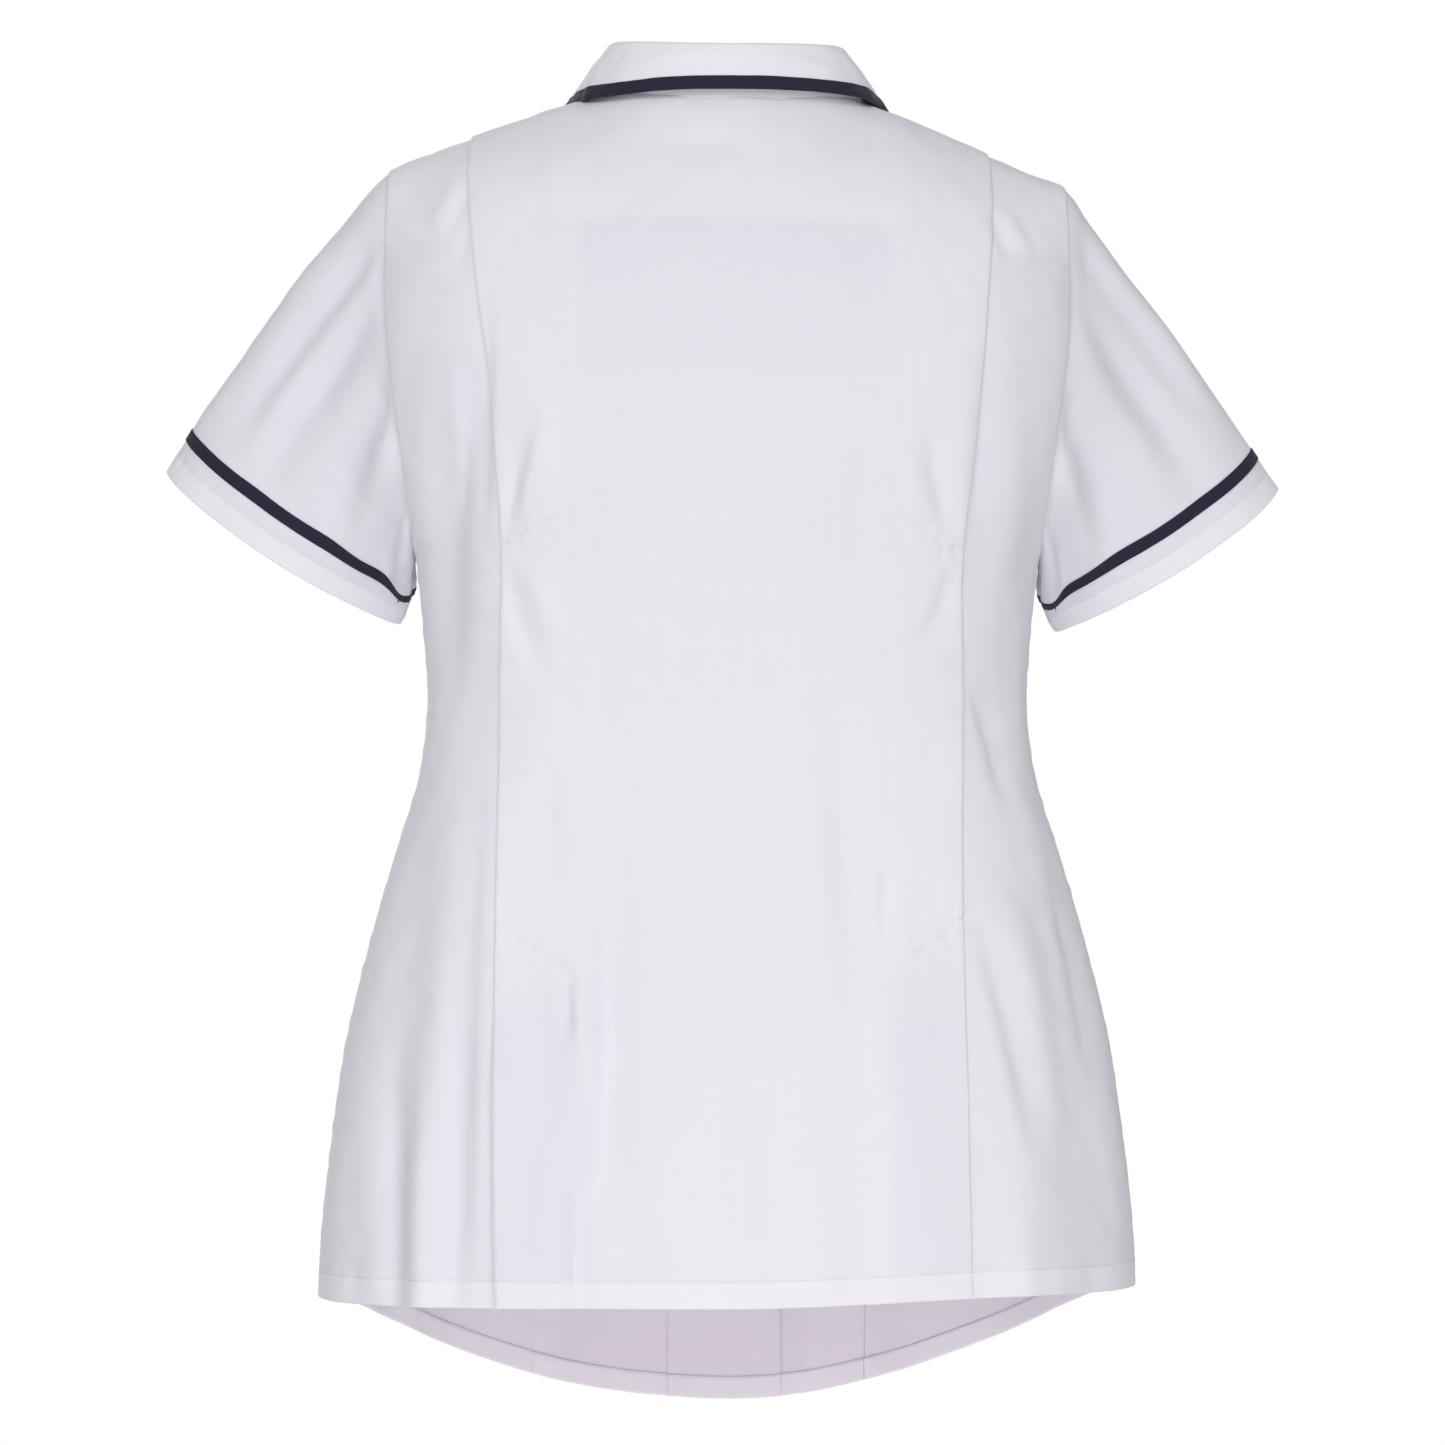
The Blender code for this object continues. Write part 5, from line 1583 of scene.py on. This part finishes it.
def sleeve_pieces(side, cloth, tape, fabric, navy):
    word = "left" if side < 0 else "right"
    net, places = sleeve_net(side, cloth)
    out = net_out(net, side)
    down = tangent(net, 0)
    gap = cloth.thickness + HEM_AIR
    turned = []
    inner = drawn_in(net[-1], gap) - net[-1]
    for angle in np.radians(HEM_ROUND):
        below = down[-1] * gap / 2 * math.sin(angle)
        turned.append(net[-1] + inner * (1 - math.cos(angle)) / 2 + below)
    turned += [drawn_in(ring, gap) for ring in net[: -TURNED_ROWS - 1 : -1]]
    whole = np.concatenate([net, np.array(turned)])
    # The sleeve is painted shade all over, and painted lighter in its turned hem, where the layers lie
    # together
    hem = 1 - step_at(cloth.sleeve_hem, LAYER_EDGE, places)
    inside = np.full((len(turned), net.shape[1]), SLEEVE_TURNED_TONE)
    layers = np.concatenate([hem * SLEEVE_HEM_TONE + SLEEVE_PAINTED_SHADE, inside])
    sleeve = shell("sleeve_%s_cloth" % word, whole, side, cloth.thickness, fabric, layers)
    sew_on(sleeve, "poly_cotton", "sleeve_" + word)
    under_tape = slice(-CUFF_ROWS - SLEEVE_TAPE_ROWS, -CUFF_ROWS)
    rise = cloth.thickness / 2 + tape.thickness / 2 + TAPE_AIR
    strip = net[under_tape] + out[under_tape] * rise
    ribbon = shell("sleeve_tape_%s_strip" % word, strip, side, tape.thickness, navy)
    sew_on(ribbon, "navy_tape", "sleeve_tape_" + word)


class TUNIC_OT_sleeves(bpy.types.Operator):
    """Sew both sleeves with their turned hems and the tape round them"""

    bl_idname = "tunic.sleeves"
    bl_label = "Sleeves and their tape"

    def execute(self, context):
        for side in (-1, 1):
            sleeve_pieces(
                side, context.scene.tunic_cloth, context.scene.tunic_tape, material_named(FABRIC),
                material_named(TWILL),
            )
        return {"FINISHED"}


def collar_value(column, turns):
    return read(COLLAR_LINES, column, np.degrees(np.abs(turns)), key="turn")


EdgePlace = namedtuple("EdgePlace", "turn u")


def fall_edge(turns, side):
    """The u of the fall's edge on one side: worked out at the table's rows, smooth between them."""
    places = []
    for line in COLLAR_LINES:
        turn = side * float(turn_of(line.fall_x))
        places.append(EdgePlace(line.turn, float(u_at_turn(FRONT, turn))))
    return read(places, "u", np.degrees(np.abs(turns)), key="turn")


def collar_net():
    """The collar from the neck seam up the stand, over the roll and down the fall, and how far
    down the fall each row is."""
    gap = float(turn_of(COLLAR_GAP))
    turns = np.linspace(-math.pi + gap, math.pi - gap, COLLAR_AROUND)
    away = np.degrees(np.abs(turns))
    side = np.sign(turns)
    side[side == 0] = 1
    on_back = (np.abs(turns) <= math.pi / 2)[:, None]
    front_turn = side * (math.pi - np.abs(turns))
    front_u = u_at_turn(FRONT, front_turn)
    back_seam, back_out, _, _ = look_up(BACK, u_at_turn(BACK, turns), 0.0)
    front_seam, front_out, _, _ = look_up(FRONT, front_u, 0.0)
    to_front = ease(*TO_THE_FRONT, away)[:, None]
    seam = np.where(on_back, back_seam, front_seam)
    out = unit(back_out * (1 - to_front) + front_out * to_front)
    across = unit(np.cross(out, tangent(seam[:, None], 0)[:, 0]))
    outward = unit(seam * [1, 1, 0])
    up = np.array([0, 0, 1.0])
    lean = np.radians(collar_value("lean", turns))[:, None]
    rise = unit(up * np.cos(lean) - outward * np.sin(lean))
    base = seam + across * STAND_SEAM + rise * STAND_UP
    height = collar_value("height", turns)[:, None]
    inner = base + rise * height
    roll = inner + outward * 2 * ROLL_RADIUS
    back_share = np.minimum(np.abs(turns) / (math.pi / 2), 1)[:, None] ** 2
    hang = (
        seam
        + outward * (FALL_OUT_BACK + (FALL_OUT_SIDE - FALL_OUT_BACK) * back_share)
        + up * (FALL_UP_BACK + (FALL_UP_SIDE - FALL_UP_BACK) * back_share)
    )
    # The collar hangs a little lower at the left of the back
    to_left = -np.degrees(turns)
    on_left = ease(*DROOP_GROWS, to_left) * (1 - ease(*TO_THE_FRONT, to_left))
    hang = hang - up * LEFT_DROOP * on_left[:, None]
    edge_u = np.where(side < 0, fall_edge(turns, -1), fall_edge(turns, 1))
    edge_v = collar_value("fall_v", turns)
    on_chest = ease(LIFTS_FROM, LIES_FROM, away)[:, None]
    fall_length = np.linalg.norm(hang - roll, axis=-1) + edge_v * (TIP_X - NECK_HALF)
    tape_share = 1 - TAPE_SHOWN / fall_length
    shares = [tape_share * k / FALL_ROWS for k in range(FALL_ROWS + 1)]
    shares += [tape_share + (1 - tape_share) * k / TAPE_ROWS for k in range(1, TAPE_ROWS + 1)]
    fall = []
    for share in shares:
        part = share[:, None]
        hanging = roll + (hang - roll) * part + outward * FALL_CROWN * part * (1 - part)
        lying, way, _, _ = look_up(FRONT, front_u + (edge_u - front_u) * share, edge_v * share)
        lying = lying + (roll - front_seam) * (1 - part) ** ROLL_FADE
        crown = FALL_CROWN * 2 * part * (1 - part)
        lying = lying + way * (FALL_LIFT * (1 - (1 - part) ** 3) + crown)
        fall.append(hanging * (1 - on_chest) + lying * on_chest)
    tucked = seam - across * SEAM_TUCK - out * SEAM_TUCK_IN
    stand = [tucked, base - rise * STAND_UP]
    stand += [base + rise * height * k / STAND_ROWS for k in range(STAND_ROWS + 1)]
    bend = []
    for k in range(1, ROLL_ROWS):
        angle = math.pi * k / ROLL_ROWS
        aside = outward * ROLL_RADIUS * (1 - math.cos(angle))
        bend.append(inner + aside + rise * ROLL_RADIUS * math.sin(angle))
    down = [0.0] * len(stand + bend) + [k / (len(fall) - 1) for k in range(len(fall))]
    return np.array(stand + bend + fall), np.array(down)


def shaped_collar(cloth):
    """The collar's net with its small waves."""
    net, down = collar_net()
    out = net_out(net, BACK.way)
    wave = waves(net, COLLAR_WAVES) * cloth.crease_depth * ease(0, 0.2, down)[:, None]
    return net + out * wave[..., None]


class TUNIC_OT_collar(bpy.types.Operator):
    """Sew the folded collar and the tape along its edge"""

    bl_idname = "tunic.collar"
    bl_label = "Collar and its tape"

    def execute(self, context):
        cloth, tape = context.scene.tunic_cloth, context.scene.tunic_tape
        net = shaped_collar(cloth)
        double = cloth.thickness * COLLAR_LAYERS
        layers = np.full(net.shape[:2], COLLAR_TONE)
        collar = shell("collar_cloth", net, BACK.way, double, material_named(FABRIC), layers)
        sew_on(collar, "poly_cotton", "collar")
        rise = double / 2 + tape.thickness / 2 + TAPE_AIR
        out, past = net_out(net, BACK.way), tangent(net, 0)
        rows = list((net + out * rise)[-TAPE_ROWS - 1 :])
        for angle in np.radians(HEM_ROUND):
            rows.append(net[-1] + (out[-1] * math.cos(angle) + past[-1] * math.sin(angle)) * rise)
        rows += [net[-1] - out[-1] * rise, net[-2] - out[-2] * rise]
        navy = material_named(TWILL)
        ribbon = shell("collar_tape_strip", np.array(rows), BACK.way, tape.thickness, navy)
        sew_on(ribbon, "navy_tape", "collar_tape")
        return {"FINISHED"}


# How many points each kind of line for stitches has
BACK_SIDE_POINTS = 200
BACK_CENTRE_POINTS = 400
PLEAT_POINTS = 60
FRONT_HEM_POINTS = 260
FRONT_SEAM_POINTS = 420
FRONT_SEAM_V = (0.03, 1.985)  # from where to where the front's topstitching runs
TAPE_INSET = 0.0012  # from the tape's edge to the stitching that holds it
SEAM_INSET = 0.0020  # from a panel seam to its topstitching
EDGE_INSET = 0.0050  # from a free front edge to its topstitching


def row_path(net, out, places, place, rise):
    """A line round the sleeve at one length up from the cuff."""
    lines = []
    for j in range(net.shape[1]):
        up, column, outward = places[::-1, j], net[::-1, j], out[::-1, j]
        point = [np.interp(place, up, column[:, k]) for k in range(3)]
        way = [np.interp(place, up, outward[:, k]) for k in range(3)]
        lines.append(point + way)
    lines = np.array(lines)
    return Path(lines[:, :3] + unit(lines[:, 3:]) * rise, unit(lines[:, 3:]))


def back_hem_paths(cloth):
    rise, fold = cloth.thickness / 2, BACK_STATIONS["fold_right"]
    paths = []
    for first, last in ((-1, -fold), (fold, 1)):
        u = np.linspace(first, last, BACK_SIDE_POINTS)
        paths.append(path_on(BACK, u, 2.0, rise, 0, -cloth.hem_depth))
    u = np.linspace(-fold, fold, BACK_CENTRE_POINTS)
    points, _, _, _ = look_up(BACK, u, 2.0)
    paths.append(path_on(BACK, u, 2.0, rise + centre_lift(u, 2.0, points), 0, -cloth.hem_depth))
    return paths


def pleat_paths(cloth):
    """The slanting lines on the centre back that hold its pleats at the ribs and at the hips."""
    paths = []
    for line in PLEAT_LINES:
        corners = np.array(line)
        run = run_along(corners)
        at = np.linspace(0, run[-1], PLEAT_POINTS)
        u, v = place_of(BACK, np.interp(at, run, corners[:, 0]), np.interp(at, run, corners[:, 1]))
        points, _, _, _ = look_up(BACK, u, v)
        paths.append(path_on(BACK, u, v, cloth.thickness / 2 + centre_lift(u, v, points)))
    return paths


def front_hem_paths(cloth):
    rise, places = cloth.thickness / 2, FRONT_STATIONS
    paths = []
    for first, last, lapped in (
        ("side_left", "seam_left", False), ("seam_left", "lap_right", False),
        ("lap_right", "seam_right", True), ("seam_right", "side_right", False),
    ):
        u = np.linspace(places[first], places[last], FRONT_HEM_POINTS)
        points, _, _, _ = look_up(FRONT, u, 2.0)
        lift = rise + (lap_lift(u, 2.0, points) if lapped else 0)
        paths.append(path_on(FRONT, u, 2.0, lift, 0, -cloth.front_hem))
    return paths


def front_seam_paths(cloth):
    """Topstitching beside both panel seams, and along the right front's free edge."""
    v = np.linspace(*FRONT_SEAM_V, FRONT_SEAM_POINTS)
    rise = cloth.thickness / 2
    paths = []
    for name, inset, lapped in (
        ("seam_left", SEAM_INSET, False), ("seam_right", -SEAM_INSET, True),
        ("lap_right", EDGE_INSET, True),
    ):
        u = np.full(v.shape, FRONT_STATIONS[name])
        points, _, _, _ = look_up(FRONT, u, v)
        lift = rise + (lap_lift(u, v, points) * pressed(v) if lapped else 0)
        paths.append(path_on(FRONT, u, v, lift, inset))
    return paths


def collar_tape_paths(cloth, tape):
    net = shaped_collar(cloth)
    out = net_out(net, BACK.way)
    rise = cloth.thickness * COLLAR_LAYERS / 2 + tape.thickness + TAPE_AIR
    paths = []
    for share in (TAPE_INSET / TAPE_WIDTH, 1 - TAPE_INSET / TAPE_WIDTH):
        row = len(net) - 1 - TAPE_ROWS + TAPE_ROWS * share
        i, part = int(row), row - int(row)
        points = net[i] * (1 - part) + net[i + 1] * part
        way = unit(out[i] * (1 - part) + out[i + 1] * part)
        paths.append(Path(points + way * rise, way))
    return paths


class TUNIC_OT_stitching(bpy.types.Operator):
    """Sew the topstitching: hems, pleats, seams, sleeve hems and tape edges"""

    bl_idname = "tunic.stitching"
    bl_label = "Topstitching"

    def execute(self, context):
        cloth = context.scene.tunic_cloth
        tape = context.scene.tunic_tape
        white, navy = material_named(WHITE_THREAD), material_named(NAVY_THREAD)
        sleeve_hems, tape_edges = [], []
        for side in (-1, 1):
            net, places = sleeve_net(side, cloth)
            out = net_out(net, side)
            rise = cloth.thickness / 2
            sleeve_hems.append(row_path(net, out, places, cloth.sleeve_hem, rise))
            for edge in (CUFF_TO_TAPE + TAPE_INSET, CUFF_TO_TAPE + TAPE_WIDTH - TAPE_INSET):
                over_tape = rise + tape.thickness + TAPE_AIR
                tape_edges.append(row_path(net, out, places, edge, over_tape))
        for name, paths, material, slot in (
            ("back_hem_stitches", back_hem_paths(cloth), white, "poly_cotton"),
            ("pleat_stitches", pleat_paths(cloth), white, "poly_cotton"),
            ("front_hem_stitches", front_hem_paths(cloth), white, "poly_cotton"),
            ("front_seam_stitches", front_seam_paths(cloth), white, "poly_cotton"),
            ("sleeve_hem_stitches", sleeve_hems, white, "poly_cotton"),
            ("sleeve_tape_stitches", tape_edges, navy, "navy_tape"),
            ("collar_tape_stitches", collar_tape_paths(cloth, tape), navy, "navy_tape"),
        ):
            sew_on(stitches(name, paths, material), slot)
        return {"FINISHED"}


class TUNIC_OT_stage(bpy.types.Operator):
    """Set the floor, the soft lights and the camera"""

    bl_idname = "tunic.stage"
    bl_label = "Floor, lights and camera"

    def execute(self, context):
        make_stage(context.scene)
        return {"FINISHED"}


# The lights: power and colour are the names of the stage's settings, and spread is in degrees.
# None is white, or the lamp's own 180 degrees. The low light's spread is narrow, so that it passes
# over the floor near it
MIDDLE = (0, 0, -0.37)
Softbox = namedtuple("Softbox", "name place aim size power colour spread")
SOFTBOXES = (
    Softbox("Back softbox", (1.7, -3.9, 0.9), MIDDLE, (1.8, 1.8), "key", None, None),
    Softbox("High softbox", (-1.1, -3.6, 2.3), MIDDLE, (1.6, 1.6), "frontal", None, None),
    Softbox("Low softbox", (0.1, -3.4, -1.05), (0, 0.15, -0.80), (1.6, 0.6), "low", "low_colour", 60),
    Softbox(
        "Hem softbox", (0, -0.10, -1.02), (0, 0.16, -0.74), (0.4, 0.1), "inside", "inside_colour", None
    ),
    Softbox("Front softbox", (-1.2, 4.2, 0.9), MIDDLE, (2.2, 2.2), "far", None, None),
)
CAMERA_PLACE = (-0.0027, -4.0, -0.3705)
CAMERA_LENS = 166.0  # mm, on a sensor 36 mm wide
SENSOR = 36.0
FLOOR_CORNERS = 96


def soft_light(box, stage):
    light = bpy.data.lights.new(box.name, "AREA")
    light.shape, light.size, light.size_y = "RECTANGLE", *box.size
    light.energy = getattr(stage, box.power)
    light.color = getattr(stage, box.colour) if box.colour else (1, 1, 1)
    if box.spread:
        light.spread = math.radians(box.spread)
    lamp = bpy.data.objects.new(box.name, light)
    lamp.location = box.place
    lamp.rotation_mode = "QUATERNION"
    lamp.rotation_quaternion = (Vector(box.aim) - Vector(box.place)).to_track_quat("-Z", "Y")
    lamp.visible_camera = False
    bpy.context.scene.collection.objects.link(lamp)


def make_stage(scene):
    stage = scene.tunic_stage
    mesh = bpy.data.meshes.new("pale_floor")
    rim = []
    for angle in np.linspace(0, 2 * math.pi, FLOOR_CORNERS, endpoint=False):
        x, y = stage.floor_radius * math.cos(angle), stage.floor_radius * math.sin(angle)
        rim.append((x, y, stage.floor_z))
    mesh.from_pydata(rim, [], [tuple(range(len(rim)))])
    material, tree, shader = new_material("Pale matt floor")
    place = add(tree, "ShaderNodeTexCoord").outputs["Object"]
    # Rolled paint leaves a faint texture of about 3 mm
    grain = add(tree, "ShaderNodeTexNoise", {"Vector": place, "Scale": 1 / 0.003, "Detail": 2.0})
    bump = add(tree, "ShaderNodeBump", {"Height": grain.outputs["Fac"], "Strength": 0.05})
    feed(tree, shader, {
        "Normal": bump.outputs["Normal"], "Base Color": (*stage.floor_colour, 1), "Roughness": 0.95,
    })
    mesh.materials.append(material)
    floor = bpy.data.objects.new("pale_floor", mesh)
    scene.collection.objects.link(floor)

    world = bpy.data.worlds.new("White studio")
    scene.world = world
    world.use_nodes = True
    tree = world.node_tree
    tree.nodes.clear()
    lit = add(tree, "ShaderNodeBackground", {"Color": (1, 1, 1, 1), "Strength": stage.sky})
    seen = add(tree, "ShaderNodeBackground", {"Color": (1, 1, 1, 1), "Strength": 1.0})
    by_camera = add(tree, "ShaderNodeLightPath").outputs["Is Camera Ray"]
    mix = add(tree, "ShaderNodeMixShader", {0: by_camera, 1: lit.outputs[0], 2: seen.outputs[0]})
    add(tree, "ShaderNodeOutputWorld", {"Surface": mix.outputs[0]})
    for box in SOFTBOXES:
        soft_light(box, stage)

    camera = bpy.data.cameras.new("Camera")
    camera.lens, camera.sensor_width = CAMERA_LENS, SENSOR
    camera.dof.use_dof = False
    view = bpy.data.objects.new("Camera", camera)
    view.location = CAMERA_PLACE
    view.rotation_euler = (math.pi / 2, 0, 0)
    scene.collection.objects.link(view)
    scene.camera = view
    scene.view_settings.view_transform = "Standard"
    scene.view_settings.look = "None"


class TUNIC_PT_sidebar(bpy.types.Panel):
    bl_label = "Maternity tunic"
    bl_space_type = "VIEW_3D"
    bl_region_type = "UI"
    bl_category = "Tunic"

    def draw(self, context):
        for group in (TunicCloth, TunicTape, TunicStitches, TunicStage):
            box = self.layout.box()
            settings = getattr(context.scene, SETTINGS[group])
            for name in group.__annotations__:
                box.prop(settings, name)
        for operator in OPERATORS:
            self.layout.operator(operator.bl_idname)


SETTINGS = {
    TunicCloth: "tunic_cloth", TunicTape: "tunic_tape", TunicStitches: "tunic_stitches",
    TunicStage: "tunic_stage",
}
OPERATORS = (
    TUNIC_OT_back, TUNIC_OT_fronts, TUNIC_OT_sleeves, TUNIC_OT_collar, TUNIC_OT_stitching,
    TUNIC_OT_stage,
)


def register():
    for group, name in SETTINGS.items():
        bpy.utils.register_class(group)
        setattr(bpy.types.Scene, name, bpy.props.PointerProperty(type=group))
    for operator in OPERATORS:
        bpy.utils.register_class(operator)
    bpy.utils.register_class(TUNIC_PT_sidebar)


def unregister():
    bpy.utils.unregister_class(TUNIC_PT_sidebar)
    for operator in reversed(OPERATORS):
        bpy.utils.unregister_class(operator)
    for group, name in SETTINGS.items():
        delattr(bpy.types.Scene, name)
        bpy.utils.unregister_class(group)


def main():
    register()
    bpy.ops.tunic.back()
    bpy.ops.tunic.fronts()
    bpy.ops.tunic.sleeves()
    bpy.ops.tunic.collar()
    bpy.ops.tunic.stitching()
    bpy.ops.tunic.stage()


if __name__ == "__main__":
    main()
